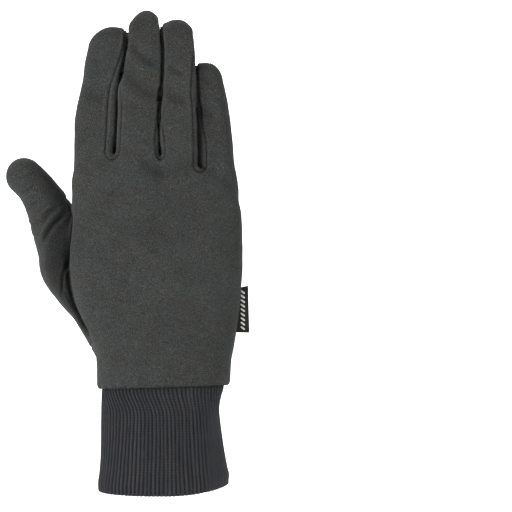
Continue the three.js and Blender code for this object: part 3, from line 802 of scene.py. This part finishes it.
def keep_used(points, triangles):
    """Numbers of the points that the triangles use, and the triangles in their new numbers"""
    used = np.unique(triangles)
    renumber = np.full(len(points), -1)
    renumber[used] = np.arange(len(used))
    return used, renumber[triangles]


def shell_surface(sizes):
    """Points and triangles of the whole shell, cut at the hem and along every seam"""
    step = sizes.mesh_step / MM * 1.0
    low, high = (-92.0, -26.0, 55.0), (47.0, 30.0, 273.0)
    points, quads = surface_net(low, high, (step * 0.9, step * 1.1, step * 1.15))
    points = even_out(settle(points, 2), quads, 2)
    triangles = np.concatenate([quads[:, [0, 1, 2]], quads[:, [0, 2, 3]]])
    # The hem: everything below its seam goes
    above = points[:, 2] - hem_level(*points.T[:2], sizes)
    points, triangles = split_along(points, triangles, above)
    middle = points[triangles].mean(1)
    triangles = triangles[middle[:, 2] > hem_level(*middle.T[:2], sizes)]
    # Rows of edges along both sides of every seam
    for seam in seam_functions().values():
        for offset in (0.0, 0.6, -0.6, 1.4, -1.4):
            value = true_distance(seam, points) - offset
            value[np.abs(value) < 0.16] = 0
            points, triangles = split_along(points, triangles, value)
    points = settle(points, 1)
    used, triangles = keep_used(points, triangles)
    return points[used], triangles


def slit_tone(points):
    """Painted light at the slits: their walls are paler, and painted shade darkens one finger"""
    x, y, z = points.T
    inward = depth_in_slit(y, z)
    tone = np.zeros(len(points))
    for slit, bent in zip(SLITS, SLIT_BENDS):
        beside = column(slit, "x", z) - x
        wall = 0.5 + 1.8 * ease((inward + 3) / 2.5)
        reach = np.where(beside > 0, np.maximum(bent["reach"], wall), wall)
        near = beside / (column(slit, "gap", z) / 2 + reach)
        above = ease((z - slit[0]["z"] - 6) / 8) * (1 - ease((inward - 4) / 4))
        # Painted light on the walls of the slit, and painted shade on the finger to its right
        tone += bent["fuzz"] * bump_at(near, 1) * above
        tone -= bent["shade"] * bump_at(beside, 7.0) * above * (beside < 0)
    return tone


def thumb_tone(points, distance):
    """Painted shade on the side of the thumb next to the palm, darkest at its seam"""
    y, z = points.T[1:]
    side = bump_at(np.clip(distance, 0, None), 9.0) * ease((z - 86) / 10)
    side = np.where(distance > 0, side, 0) * ease((14 - y) / 8)
    seam = bump_at(distance - 0.5, 1.1) * ease((4 - y) / 4) * ease((z - 88) / 8)
    return -0.58 * side - 0.3 * seam


@lru_cache(maxsize=None)
def shell_pieces():
    """Points and triangles of every cloth piece of the shell, with its painted light and shade and darker
    seam stitches, by its name
    """
    sizes = bpy.context.scene.glove_sizes
    points, triangles = shell_surface(sizes)
    normal = slope_at(points)
    normal /= np.linalg.norm(normal, axis=1)[:, None]
    x, y, z = points.T
    depth = sizes.fold_strength * fold_depth(points)
    above_hem = (z - hem_level(x, y, sizes)) / HEM_TUBE
    roll = 1 - np.sqrt(np.clip(1 - (1 - np.clip(above_hem, 0, 1)) ** 2, 0, 1))
    depth += sizes.hem_roll / MM * roll
    round_wrist = np.arctan2(y, x)
    gather = np.sin(round_wrist * 31 + 2.0 * np.sin(round_wrist * 5))
    depth += HEM_PUCKER * (gather * np.exp(-np.abs(above_hem) / 1.6))
    uneven = 0.26 * ripple(points, 34, 1) + 0.13 * ripple(points, 13, 2) + 0.045 * ripple(points, 5, 3)
    depth -= uneven
    # Painted shade darkens the knit down in the folds and seams and along the hem, and painted light pales
    # it where it stands up
    tone = 1 - 0.22 * np.clip(depth, -0.5, 1.8) - 0.35 * bump_at(above_hem * HEM_TUBE, 0.5)
    tone += slit_tone(points)
    distances = {}
    for name, seam in seam_functions().items():
        distance = true_distance(seam, points)
        distances[name] = distance
        # Each seam is darker along its stitches and with painted shade in its groove, and paler with
        # painted light where the cloth puffs up beside it
        stitch = 0.5 + 0.14 * np.cos(2 * np.pi * (z + 0.6 * x) / SEAM_STITCH)
        tone -= stitch * bump_at(distance, 0.36) - 0.1 * bump_at(np.abs(distance) - 1.4, 0.7)
        draw = 0.8 + 0.2 * np.cos(2 * np.pi * z / SEAM_DRAW)
        groove = sizes.seam_depth / MM * bump_at(distance, 0.42) * draw
        puff = sizes.seam_puff / MM * bump_at(np.abs(distance) - 1.5, 0.85)
        if name == "thumb":
            tone += thumb_tone(points, distance)
            # The thumb's seam lies in a broad hollow on the back, and runs out flat at the wrist
            groove += 1.5 * bump_at(distance + 0.4, 1.4) * ease((4 - y) / 4) * ease((z - 86) / 8)
            puff *= ease((z - 82) / 8)
        depth += groove - puff
    points = points - depth[:, None] * normal

    labels = np.zeros(len(triangles), int)
    names = ["trank", "thumb"] + [strip["name"] for strip in STRIPS]
    for number, name in enumerate(names[1:], 1):
        corners = distances[name][triangles]
        inside = np.median(corners, axis=1)
        high, low = corners.max(1), corners.min(1)
        farthest = np.where(np.abs(high) > np.abs(low), high, low)
        labels[np.where(np.abs(inside) > 1e-6, inside, farthest) > 0] = number
    pieces = {}
    for number, name in enumerate(names):
        used, part = keep_used(points, triangles[labels == number])
        pieces[name] = (points[used], part, tone[used])
    return pieces


def cloth_object(name, points, faces, material, tone=None, uv=None):
    """A smooth mesh object from points in millimetres, with a tone at each that carries painted light and
    shade
    """
    mesh = bpy.data.meshes.new(name)
    mesh.from_pydata((np.asarray(points) * MM).tolist(), [], [list(face) for face in faces])
    mesh.validate()
    mesh.update()
    mesh.shade_smooth()
    layer = mesh.uv_layers.new(name="cloth")
    loops = np.empty(len(mesh.loops), int)
    mesh.loops.foreach_get("vertex_index", loops)
    if uv is None:
        flat = np.empty(len(mesh.vertices) * 3)
        mesh.vertices.foreach_get("co", flat)
        flat = flat.reshape(-1, 3)
        uv = np.stack([flat[:, 0] + 0.3 * flat[:, 1], flat[:, 2]], axis=1)[loops] / 0.1
    layer.data.foreach_set("uv", np.asarray(uv, float).ravel())
    shade = mesh.attributes.new("tone", "FLOAT", "POINT")
    shade.data.foreach_set("value", np.ones(len(points)) if tone is None else tone)
    piece = bpy.data.objects.new(name, mesh)
    bpy.context.collection.objects.link(piece)
    piece.data.materials.append(material)
    return piece


def node_maker(tree):
    """Short calls that add nodes to a tree, set their inputs and link them"""

    def add(kind, inputs=None, **settings):
        node = tree.nodes.new(kind)
        for key, value in settings.items():
            setattr(node, key, value)
        for key, value in (inputs or {}).items():
            if isinstance(value, bpy.types.NodeSocket):
                tree.links.new(value, node.inputs[key])
            else:
                node.inputs[key].default_value = value
        return node

    return add


def maths(add, operation, *values):
    """The result of a Math node"""
    return add("ShaderNodeMath", dict(enumerate(values)), operation=operation).outputs[0]


def noise(add, place, scale, detail, roughness):
    """Soft random values over the surface"""
    inputs = {"Vector": place, "Scale": scale, "Detail": detail, "Roughness": roughness}
    return add("ShaderNodeTexNoise", inputs).outputs["Fac"]


def stretched(add, value, low, high):
    """Values between low and high spread out from 0 to 1"""
    inputs = {"Value": value, "From Min": low, "From Max": high, "To Min": 0.0, "To Max": 1.0}
    return add("ShaderNodeMapRange", inputs).outputs["Result"]


def scaled(add, colour_socket, factor):
    """A colour made paler or darker by a factor"""
    inputs = {0: colour_socket, "Scale": factor}
    return add("ShaderNodeVectorMath", inputs, operation="SCALE").outputs["Vector"]


def blended(add, factor, first, second):
    """Two colours mixed by a factor"""
    node = add("ShaderNodeMix", {"Factor": factor}, data_type="RGBA")
    ends = [socket for socket in node.inputs if socket.type == "RGBA"]
    node.id_data.links.new(first, ends[0])
    node.id_data.links.new(second, ends[1])
    return next(socket for socket in node.outputs if socket.type == "RGBA")


def raised(add, height, strength, distance, normal=None):
    """The normal of a surface with a fine relief"""
    inputs = {"Height": height, "Strength": strength, "Distance": distance}
    if normal is not None:
        inputs["Normal"] = normal
    return add("ShaderNodeBump", inputs).outputs["Normal"]


def new_group(name, inputs, outputs):
    """An empty shader group with named inputs and outputs"""
    group = bpy.data.node_groups.new(name, "ShaderNodeTree")
    for socket, default in inputs.items():
        kind = "NodeSocketColor" if isinstance(default, tuple) else "NodeSocketFloat"
        group.interface.new_socket(socket, in_out="INPUT", socket_type=kind).default_value = default
    for socket, kind in outputs.items():
        group.interface.new_socket(socket, in_out="OUTPUT", socket_type=kind)
    add = node_maker(group)
    return group, add, add("NodeGroupInput").outputs, add("NodeGroupOutput").inputs


def heather_group():
    """Two tones of fibre, mixed in fine specks and soft clouds"""
    if "Heather" in bpy.data.node_groups:
        return bpy.data.node_groups["Heather"]
    group, add, given, result = new_group(
        "Heather",
        {
            "Base": (0.05, 0.05, 0.05, 1),
            "Fibre": (0.1, 0.1, 0.1, 1),
            "Speck Size": 900.0,
            "Speck Amount": 0.35,
            "Cloud Amount": 0.15,
            "Cool": (0.955, 1.0, 1.005, 1),
            "Warm": (1.02, 1.0, 0.96, 1),
        },
        {"Colour": "NodeSocketColor", "Speck": "NodeSocketFloat"},
    )
    place = add("ShaderNodeTexCoord").outputs["Object"]
    speck = stretched(add, noise(add, place, given["Speck Size"], 3.0, 0.65), 0.42, 0.68)
    amount = maths(add, "MULTIPLY", speck, given["Speck Amount"])
    mixed = blended(add, amount, given["Base"], given["Fibre"])
    cloud = maths(add, "SUBTRACT", noise(add, place, 85.0, 4.0, 0.6), 0.5)
    bright = scaled(add, mixed, maths(add, "MULTIPLY_ADD", cloud, given["Cloud Amount"], 1.0))
    patch = stretched(add, noise(add, place, 70.0, 2.0, 0.5), 0.38, 0.62)
    tint = blended(add, patch, given["Cool"], given["Warm"])
    tinted = add("ShaderNodeVectorMath", {0: bright, 1: tint}, operation="MULTIPLY")
    group.links.new(tinted.outputs["Vector"], result["Colour"])
    group.links.new(speck, result["Speck"])
    return group


def nap_group():
    """Height of a brushed surface: short fibres over faint slanting wales"""
    if "Nap" in bpy.data.node_groups:
        return bpy.data.node_groups["Nap"]
    group, add, given, result = new_group(
        "Nap",
        {"Fibre Size": 1400.0, "Wale Size": 262.0, "Wale Amount": 0.25},
        {"Height": "NodeSocketFloat", "Wale": "NodeSocketFloat"},
    )
    place = add("ShaderNodeTexCoord").outputs["Object"]
    turned = add("ShaderNodeMapping", {"Vector": place, "Rotation": (0.0, 0.72, 0.0)})
    wale = add(
        "ShaderNodeTexWave",
        {"Vector": turned.outputs["Vector"], "Scale": given["Wale Size"], "Distortion": 1.6,
         "Detail": 2.0, "Detail Scale": 3.0},
        wave_type="BANDS",
        bands_direction="X",
    ).outputs["Fac"]
    fibre = noise(add, place, given["Fibre Size"], 5.0, 0.7)
    height = maths(add, "MULTIPLY_ADD", wale, given["Wale Amount"], fibre)
    group.links.new(height, result["Height"])
    group.links.new(wale, result["Wale"])
    return group


def made_once(name):
    """Makes the function below give its material again once it is made"""

    def remember(make):
        return lambda: bpy.data.materials.get(name) or make(name)

    return remember


def cloth_material(name, base, fibre, specks, wales, bump, sheen):
    """A matte cloth from the heather and nap groups"""
    material = bpy.data.materials.new(name)
    material.use_nodes = True
    tree = material.node_tree
    add = node_maker(tree)
    surface = tree.nodes["Principled BSDF"].inputs
    heather = add(
        "ShaderNodeGroup",
        {"Base": (*base, 1), "Fibre": (*fibre, 1), "Speck Size": specks, "Speck Amount": 0.9,
         "Cloud Amount": 0.5},
        node_tree=heather_group(),
    )
    nap = add("ShaderNodeGroup", {"Wale Amount": wales}, node_tree=nap_group())
    # The tone attribute darkens and pales the colour with painted light and shade
    tone = add("ShaderNodeAttribute", attribute_name="tone").outputs["Fac"]
    twill = maths(add, "MULTIPLY_ADD", nap.outputs["Wale"], 0.5 * wales, 1 - 0.25 * wales)
    toned = scaled(add, heather.outputs["Colour"], maths(add, "MULTIPLY", tone, twill))
    tree.links.new(toned, surface["Base Color"])
    tree.links.new(raised(add, nap.outputs["Height"], bump, 0.0005), surface["Normal"])
    surface["Roughness"].default_value = 0.92
    surface["Specular IOR Level"].default_value = 0.18
    surface["Sheen Weight"].default_value = sheen
    surface["Sheen Roughness"].default_value = 0.55
    surface["Sheen Tint"].default_value = (0.55, 0.57, 0.56, 1)
    return material


@made_once("Brushed Knit")
def brushed_knit(name):
    """The shell's brushed charcoal knit"""
    base, fibre = bpy.context.scene.glove_colours.cloth, bpy.context.scene.glove_colours.cloth_fibre
    return cloth_material(name, base, fibre, specks=1700.0, wales=0.3, bump=0.9, sheen=0.1)


@made_once("Rib Knit")
def rib_knit(name):
    """The cuff's rib knit, with rows of small stitches along each rib"""
    base = bpy.context.scene.glove_colours.rib
    fibre = tuple(1.7 * c for c in base)
    material = cloth_material(name, base, fibre, specks=1500.0, wales=0.0, bump=0.3, sheen=0.08)
    tree = material.node_tree
    add = node_maker(tree)
    surface = tree.nodes["Principled BSDF"].inputs
    place = add("ShaderNodeUVMap", uv_map="cloth").outputs["UV"]
    split = add("ShaderNodeSeparateXYZ", {"Vector": place})
    # Each stitch is a V: its height leans away from the middle of the rib to both sides
    across = maths(add, "PINGPONG", split.outputs["X"], 1.0)
    lean = maths(add, "MULTIPLY_ADD", across, 0.9, split.outputs["Y"])
    stitch = maths(add, "SINE", maths(add, "MULTIPLY", lean, 6.28318))
    nap = surface["Normal"].links[0].from_socket
    tree.links.new(raised(add, stitch, 0.6, 0.0002, nap), surface["Normal"])
    # Painted shade darkens the gaps between the stitches
    gap = maths(add, "MULTIPLY_ADD", stitch, 0.16, 0.95)
    toned = surface["Base Color"].links[0].from_socket
    tree.links.new(scaled(add, toned, gap), surface["Base Color"])
    return material


@made_once("Label Tape")
def label_tape(name):
    """The label's tightly woven tape"""
    base = bpy.context.scene.glove_colours.label
    fibre = tuple(2.2 * c for c in base)
    material = cloth_material(name, base, fibre, specks=1800.0, wales=0.0, bump=0.1, sheen=0.0)
    tree = material.node_tree
    add = node_maker(tree)
    surface = tree.nodes["Principled BSDF"].inputs
    place = add("ShaderNodeTexCoord").outputs["Object"]
    weft = add(
        "ShaderNodeTexWave",
        {"Vector": place, "Scale": 900.0, "Distortion": 0.3},
        wave_type="BANDS",
        bands_direction="Z",
    )
    # The weave takes the place of the nap
    tree.links.new(raised(add, weft.outputs["Fac"], 0.4, 0.0001), surface["Normal"])
    surface["Roughness"].default_value = 0.6
    surface["Specular IOR Level"].default_value = 0.35
    return material


@made_once("Label Thread")
def label_thread(name):
    """Pale satin thread"""
    base = bpy.context.scene.glove_colours.thread
    fibre = tuple(0.8 * c for c in base)
    return cloth_material(name, base, fibre, specks=2500.0, wales=0.0, bump=0.3, sheen=0.0)


class GLOVE_OT_trank(bpy.types.Operator):
    """Adds the trank: back, palm and the fronts and backs of the fingers in one cloth"""

    bl_idname = "glove.add_trank"
    bl_label = "Add Trank"

    def execute(self, context):
        points, triangles, tone = shell_pieces()["trank"]
        piece = cloth_object("trank_cloth", points, triangles, brushed_knit(), tone)
        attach(piece, "root")
        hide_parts("trank")
        return {"FINISHED"}


class GLOVE_OT_thumb(bpy.types.Operator):
    """Adds the thumb with its gusset over the ball of the thumb"""

    bl_idname = "glove.add_thumb"
    bl_label = "Add Thumb"

    def execute(self, context):
        points, triangles, tone = shell_pieces()["thumb"]
        piece = cloth_object("thumb_cloth", points, triangles, brushed_knit(), tone)
        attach(piece, "root")
        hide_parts("thumb")
        return {"FINISHED"}


class GLOVE_OT_fourchettes(bpy.types.Operator):
    """Adds the three strips of cloth between the fingers"""

    bl_idname = "glove.add_fourchettes"
    bl_label = "Add Fourchettes"

    def execute(self, context):
        for strip in STRIPS:
            points, triangles, tone = shell_pieces()[strip["name"]]
            piece = cloth_object(strip["name"] + "_cloth", points, triangles, brushed_knit(), tone)
            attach(piece, "root")
            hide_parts(strip["name"])
        return {"FINISHED"}


def cuff_outline(z, count):
    """Points evenly spaced round the cuff at a height, with their outward direction"""
    left, right = float(column(CUFF, "left", z)), float(column(CUFF, "right", z))
    back, palm = float(column(CUFF, "back", z)), float(column(CUFF, "palm", z))
    a = np.linspace(0, 2 * np.pi, 1441)
    c, s = np.cos(a), np.sin(a)
    square = 2 / 2.3
    x = (left + right) / 2 + (right - left) / 2 * np.sign(c) * np.abs(c) ** square
    y = np.where(s < 0, back, palm) * np.sign(s) * np.abs(s) ** square
    length = np.concatenate([[0], np.cumsum(np.hypot(np.diff(x), np.diff(y)))])
    # The count starts at the middle of the back
    start = np.interp(0.0, x[(s < 0)], length[(s < 0)])
    place = (start + np.asarray(count, float) * length[-1]) % length[-1]
    px, py = np.interp(place, length, x), np.interp(place, length, y)
    step = length[-1] * 0.002
    ahead, behind = (place + step) % length[-1], (place - step) % length[-1]
    tangent = np.stack(
        [np.interp(ahead, length, line) - np.interp(behind, length, line) for line in (x, y)], axis=1
    )
    tangent /= np.linalg.norm(tangent, axis=1)[:, None]
    return np.stack([px, py], axis=1), np.stack([tangent[:, 1], -tangent[:, 0]], axis=1), length[-1]


def cuff_rows(top):
    """Rows of the cuff from its top down the outside, round the bottom edge and up the inside

    Each is a height, how far it lies inward in millimetres, and how strong its ribs are.
    """
    outside = [(z, 0.0, 1.0) for z in np.linspace(top, CUFF_EDGE + 1.1, 66)]
    radius = CUFF_WALL / 2
    fold = [
        (CUFF_EDGE + 1.1 - radius * np.sin(turn), radius * (1 - np.cos(turn)), 1.0 - 0.25 * turn / np.pi)
        for turn in np.linspace(0.15, 1.0, 7) * np.pi
    ]
    inside = [(z, CUFF_WALL, 0.6) for z in np.linspace(CUFF_EDGE + 4, top, 12)]
    return outside + fold + inside


class GLOVE_OT_rib_cuff(bpy.types.Operator):
    """Adds the rib knit cuff, two layers thick, folded at its bottom edge"""

    bl_idname = "glove.add_rib_cuff"
    bl_label = "Add Rib Cuff"

    def execute(self, context):
        sizes = context.scene.glove_sizes
        per_rib = 10
        columns = sizes.rib_count * per_rib
        share = np.arange(columns) / columns
        phase = np.arange(columns) % per_rib / per_rib
        rib = np.arange(columns) // per_rib
        rng = np.random.default_rng(7)
        rib_size = 1 + 0.16 * rng.uniform(-1, 1, sizes.rib_count)[rib]
        rib_wander = rng.uniform(0, 6.28, sizes.rib_count)[rib]
        # A rib is a broad round bar and the groove beside it is narrow
        bar = np.abs(np.sin(np.pi * phase)) ** 0.75
        top = hem_level(0.0, 0.0, sizes) + 4.0
        rows = cuff_rows(top)
        points, uv, tones = [], [], []
        run = 0.0
        for row, (z, inward, strength) in enumerate(rows):
            below = (hem_level(0.0, 0.0, sizes) - z) / 17.0
            slant = sizes.rib_slant / MM * (1 - ease(below)) ** 1.4 if z < top else sizes.rib_slant / MM
            flat, _, around = cuff_outline(z, share)
            # The slant fades on the little finger's side, where the ribs hang straight and stretch flat
            local = slant * (0.45 + 0.55 * ease((22 - flat[:, 0]) / 25)) * np.where(flat[:, 1] < 0, 1, 0.6)
            stretch = 1 - 0.8 * ease((flat[:, 0] - 21) / 7) * ease((58 - z) / 14)
            wander = 0.16 * np.sin(z / 7.0 + rib_wander)
            flat, outward, _ = cuff_outline(z, share + (wander - local) / around)
            depth = sizes.rib_depth / MM * strength * stretch * (bar * rib_size - 1)
            sag = 1.6 * (1 - np.clip(flat[:, 1] / 22.5, -1, 1) ** 2)
            to_right = np.clip(flat[:, 0], 0, None) / 36
            to_left = np.clip(-flat[:, 0], 0, None) / 36
            tilt = 3.1 * to_right**2 - 0.8 * to_left**2
            lift = (sag + tilt) * ease((34 - z) / 30)
            scallop = 0.35 * (1 - bar) * ease((CUFF_EDGE + 3 - z) / 2) * strength
            at = flat + outward * (depth - inward)[:, None]
            points.append(np.column_stack([at, np.full(columns, z) + lift + scallop]))
            # Painted shade darkens the grooves, and the ribs just under the hem
            hem_shade = 1 - 0.45 * ease((z - hem_level(flat[:, 0], flat[:, 1], sizes) + 1.6) / 1.6)
            tones.append((1.05 - 0.6 * stretch * (1 - (bar * rib_size) ** 1.3)) * hem_shade)
            if row:
                run += abs(rows[row][0] - rows[row - 1][0]) + abs(inward - rows[row - 1][1])
            uv.append(np.full(columns, run))
        count = len(rows)
        index = np.arange(count * columns).reshape(count, columns)
        nxt = np.roll(index, -1, axis=1)
        faces = np.stack([index[:-1], index[1:], nxt[1:], nxt[:-1]], axis=-1).reshape(-1, 4)
        # Each rib is 2 wide in the map, and each stitch 1 tall
        up = np.array(uv) / CUFF_STITCH
        here, beside = (
            np.stack([np.broadcast_to(u[None, :], (count, columns)), up], -1)
            for u in (phase * 2.0, (phase + 1 / per_rib) * 2.0)
        )
        corner_uv = np.stack([here[:-1], here[1:], beside[1:], beside[:-1]], axis=2).reshape(-1, 2)
        piece = cloth_object(
            "rib_cuff_cloth", np.concatenate(points), faces, rib_knit(), np.concatenate(tones), corner_uv
        )
        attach(piece, "root")
        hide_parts("rib_cuff")
        return {"FINISHED"}


def label_path(sizes, share, height):
    """Middle of the tape at a share of its way out and back, in x and y"""
    reach = sizes.label_reach / MM + 0.3 + 1.5 * (1 - height)
    root = float(column(PALM, "right", LABEL_MIDDLE)) - 2.2
    tip = float(column(PALM, "right", LABEL_MIDDLE)) + reach - 1.2 + 0.8 * height
    fold = LABEL_THICK
    out = tip - fold - root
    bend = np.pi * fold
    run = share * (2 * out + bend)
    sway = 0.25 * np.sin(height * 4.0 + 0.6)
    if run < out:
        x, y, nx, ny = root + run, -fold, 0.0, -1.0
    elif run < out + bend:
        a = (run - out) / fold
        nx, ny = np.sin(a), -np.cos(a)
        x, y = tip - fold + fold * nx, fold * ny
    else:
        x, y, nx, ny = root + (2 * out + bend - run), fold, 0.0, 1.0
    return x, y + sway * (x - root) / out + 0.6, nx, ny


def tape_mesh(sizes):
    """Points and faces of the folded tape, with its two sides joined round the rim"""
    tall = sizes.label_height / MM
    along, up = 44, 40
    points = []
    for side in (1, -1):
        for height in np.arange(up + 1) / up:
            # The selvedges are a little rounded
            pinch = 1 - 0.55 * max(0.0, abs(height - 0.5) * 2 - 0.94) / 0.06
            off = side * LABEL_THICK / 2 * pinch
            for i in range(along + 1):
                x, y, nx, ny = label_path(sizes, i / along, height)
                z = LABEL_BOTTOM + tall * height + 0.25 * (x - 42) * (height - 0.1)
                points.append((x + nx * off, y + ny * off, z))
    count = (up + 1) * (along + 1)
    index = np.arange(count).reshape(up + 1, along + 1)
    outer = np.stack([index[:-1, :-1], index[:-1, 1:], index[1:, 1:], index[1:, :-1]], -1)
    outer = outer.reshape(-1, 4)
    rim = np.concatenate([index[0], index[1:, -1], index[-1, -2::-1], index[-2:0:-1, 0]])
    after = np.roll(rim, -1)
    edge = np.stack([rim, rim + count, after + count, after], -1)
    return points, np.concatenate([outer, outer[:, ::-1] + count, edge])


def label_stitch_mesh(sizes):
    """Points and faces of a row of short padded stitches, thinner towards their ends"""
    bars, ring, steps = 9, 8, 10
    middle = float(column(PALM, "right", LABEL_MIDDLE)) + 0.9 + 1.35
    points, faces = [], []
    for n in range(bars):
        height = 0.1 + 0.8 * n / (bars - 1)
        z = LABEL_BOTTOM + sizes.label_height / MM * height
        y = label_path(sizes, 0.3, height)[1]
        base = len(points)
        for t in np.linspace(-1, 1, steps + 1):
            girth = np.sqrt(max(0.0, 1 - t**4)) + 0.02
            for a in 2 * np.pi * np.arange(ring) / ring:
                wide, high = 0.52 * girth * np.cos(a), 0.17 * girth * np.sin(a)
                front = y - LABEL_THICK / 2 - high
                points.append((middle + t * 1.25 + wide * 0.6, front, z - t * 0.95 + wide * 0.8))
        for s in range(steps):
            for r in range(ring):
                a, b = base + s * ring + r, base + s * ring + (r + 1) % ring
                faces.append((a, b, b + ring, a + ring))
        faces.append(tuple(base + r for r in range(ring))[::-1])
        faces.append(tuple(base + steps * ring + r for r in range(ring)))
    return points, faces


class GLOVE_OT_label(bpy.types.Operator):
    """Adds the folded loop label in the side seam, with a row of slanted pale stitches"""

    bl_idname = "glove.add_label"
    bl_label = "Add Label"

    def execute(self, context):
        sizes = context.scene.glove_sizes
        piece = cloth_object("side_label_tape", *tape_mesh(sizes), label_tape())
        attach(piece, "root")
        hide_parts("side_label")

        stitches = cloth_object("side_label_stitches", *label_stitch_mesh(sizes), label_thread())
        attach(stitches, "root")
        return {"FINISHED"}


def light_unseen(tree, lighting, seen, output):
    """Lets one shader light the glove, while the camera sees another in its place"""
    add = node_maker(tree)
    ray = add("ShaderNodeLightPath")
    ends = {0: ray.outputs["Is Camera Ray"], 1: lighting.outputs[0], 2: seen.outputs[0]}
    mix = add("ShaderNodeMixShader", ends)
    tree.links.new(mix.outputs[0], tree.nodes[output].inputs["Surface"])


class GLOVE_OT_studio(bpy.types.Operator):
    """Adds the camera, the soft lights and the plain pale floor with its backdrop"""

    bl_idname = "glove.add_studio"
    bl_label = "Add Studio"

    def execute(self, context):
        distance = 1.1
        width = 0.2867  # of the view at the glove
        camera = bpy.data.cameras.new("Camera")
        camera.sensor_width = 36.0
        camera.lens = 36.0 * distance / width
        camera.shift_x = 0.0515 / width
        viewer = bpy.data.objects.new("Camera", camera)
        viewer.location = (0.0, -distance, 0.1338)
        viewer.rotation_euler = (np.pi / 2, 0, 0)
        context.collection.objects.link(viewer)
        context.scene.camera = viewer

        # The floor sweeps up behind the glove in a quarter circle
        level, back, radius, half_width = -0.09, 1.6, 0.8, 3.5
        profile = [(-2.5, level), (back, level)]
        for a in np.linspace(0, np.pi / 2, 13):
            profile.append((back + radius * np.sin(a), level + radius * (1 - np.cos(a))))
        profile.append((back + radius, 3.0))
        points = [(x, y, z) for y, z in profile for x in (-half_width, half_width)]
        faces = [(2 * k, 2 * k + 1, 2 * k + 3, 2 * k + 2) for k in range(len(profile) - 1)]
        mesh = bpy.data.meshes.new("studio_floor")
        mesh.from_pydata(points, [], faces)
        mesh.shade_smooth()
        floor = bpy.data.objects.new("studio_floor", mesh)
        context.collection.objects.link(floor)
        paper = bpy.data.materials.new("Studio Paper")
        paper.use_nodes = True
        tree = paper.node_tree
        # The paper looks nearly white, and gives the glove only a little light
        given = tree.nodes["Principled BSDF"]
        seen = node_maker(tree)("ShaderNodeBsdfPrincipled")
        for surface, strength in ((given, 0.28), (seen, 0.72)):
            surface.inputs["Base Color"].default_value = (*context.scene.glove_colours.studio, 1)
            surface.inputs["Roughness"].default_value = 0.9
            surface.inputs["Emission Color"].default_value = (1, 1, 1, 1)
            surface.inputs["Emission Strength"].default_value = strength
        light_unseen(tree, given, seen, "Material Output")
        mesh.materials.append(paper)

        for name, place, size, power in (
            ("Left Softbox", (-1.0, -0.97, 0.3), 0.8, 16.0),
            ("Right Softbox", (1.3, -0.6, 0.05), 0.8, 11.0),
            ("Top Softbox", (-0.5, -0.6, 1.2), 0.8, 3.5),
            ("Backdrop Light", (0.0, 1.2, 1.6), 1.6, 45.0),
        ):
            light = bpy.data.lights.new(name, "AREA")
            light.size = size
            light.energy = power
            lamp = bpy.data.objects.new(name, light)
            lamp.location = place
            target = Vector((0.0, 2.0, 0.1)) if name == "Backdrop Light" else Vector((0.0, 0.0, 0.14))
            lamp.rotation_euler = (Vector(place) - target).to_track_quat("Z", "Y").to_euler()
            context.collection.objects.link(lamp)
        world = bpy.data.worlds.new("Studio")
        world.use_nodes = True
        # The surroundings look white, and give the glove only a little light
        tree = world.node_tree
        glow = tree.nodes["Background"]
        glow.inputs["Color"].default_value = (1, 1, 1, 1)
        glow.inputs["Strength"].default_value = 0.07
        seen = node_maker(tree)("ShaderNodeBackground", {"Color": (1, 1, 1, 1), "Strength": 1.0})
        light_unseen(tree, glow, seen, "World Output")
        context.scene.world = world
        context.scene.view_settings.view_transform = "Standard"
        context.scene.view_settings.look = "None"
        return {"FINISHED"}


class GLOVE_PT_panel(bpy.types.Panel):
    """Sizes, colours and the operators that build the glove liner"""

    bl_label = "Glove Liner"
    bl_idname = "GLOVE_PT_panel"
    bl_space_type = "VIEW_3D"
    bl_region_type = "UI"
    bl_category = "Glove Liner"

    def draw(self, context):
        layout = self.layout
        for group in (context.scene.glove_sizes, context.scene.glove_colours):
            box = layout.box()
            for key in group.__annotations__:
                box.prop(group, key)
        for operator in OPERATORS:
            layout.operator(operator.bl_idname)


OPERATORS = (
    GLOVE_OT_studio,
    GLOVE_OT_trank,
    GLOVE_OT_thumb,
    GLOVE_OT_fourchettes,
    GLOVE_OT_rib_cuff,
    GLOVE_OT_label,
)
CLASSES = (GloveSizes, GloveColours, *OPERATORS, GLOVE_PT_panel)


def register():
    for cls in CLASSES:
        bpy.utils.register_class(cls)
    bpy.types.Scene.glove_sizes = bpy.props.PointerProperty(type=GloveSizes)
    bpy.types.Scene.glove_colours = bpy.props.PointerProperty(type=GloveColours)


def unregister():
    del bpy.types.Scene.glove_colours
    del bpy.types.Scene.glove_sizes
    for cls in reversed(CLASSES):
        bpy.utils.unregister_class(cls)


def main():
    register()
    bpy.ops.glove.add_studio()
    bpy.ops.glove.add_trank()
    bpy.ops.glove.add_thumb()
    bpy.ops.glove.add_fourchettes()
    bpy.ops.glove.add_rib_cuff()
    bpy.ops.glove.add_label()


if __name__ == "__main__":
    main()
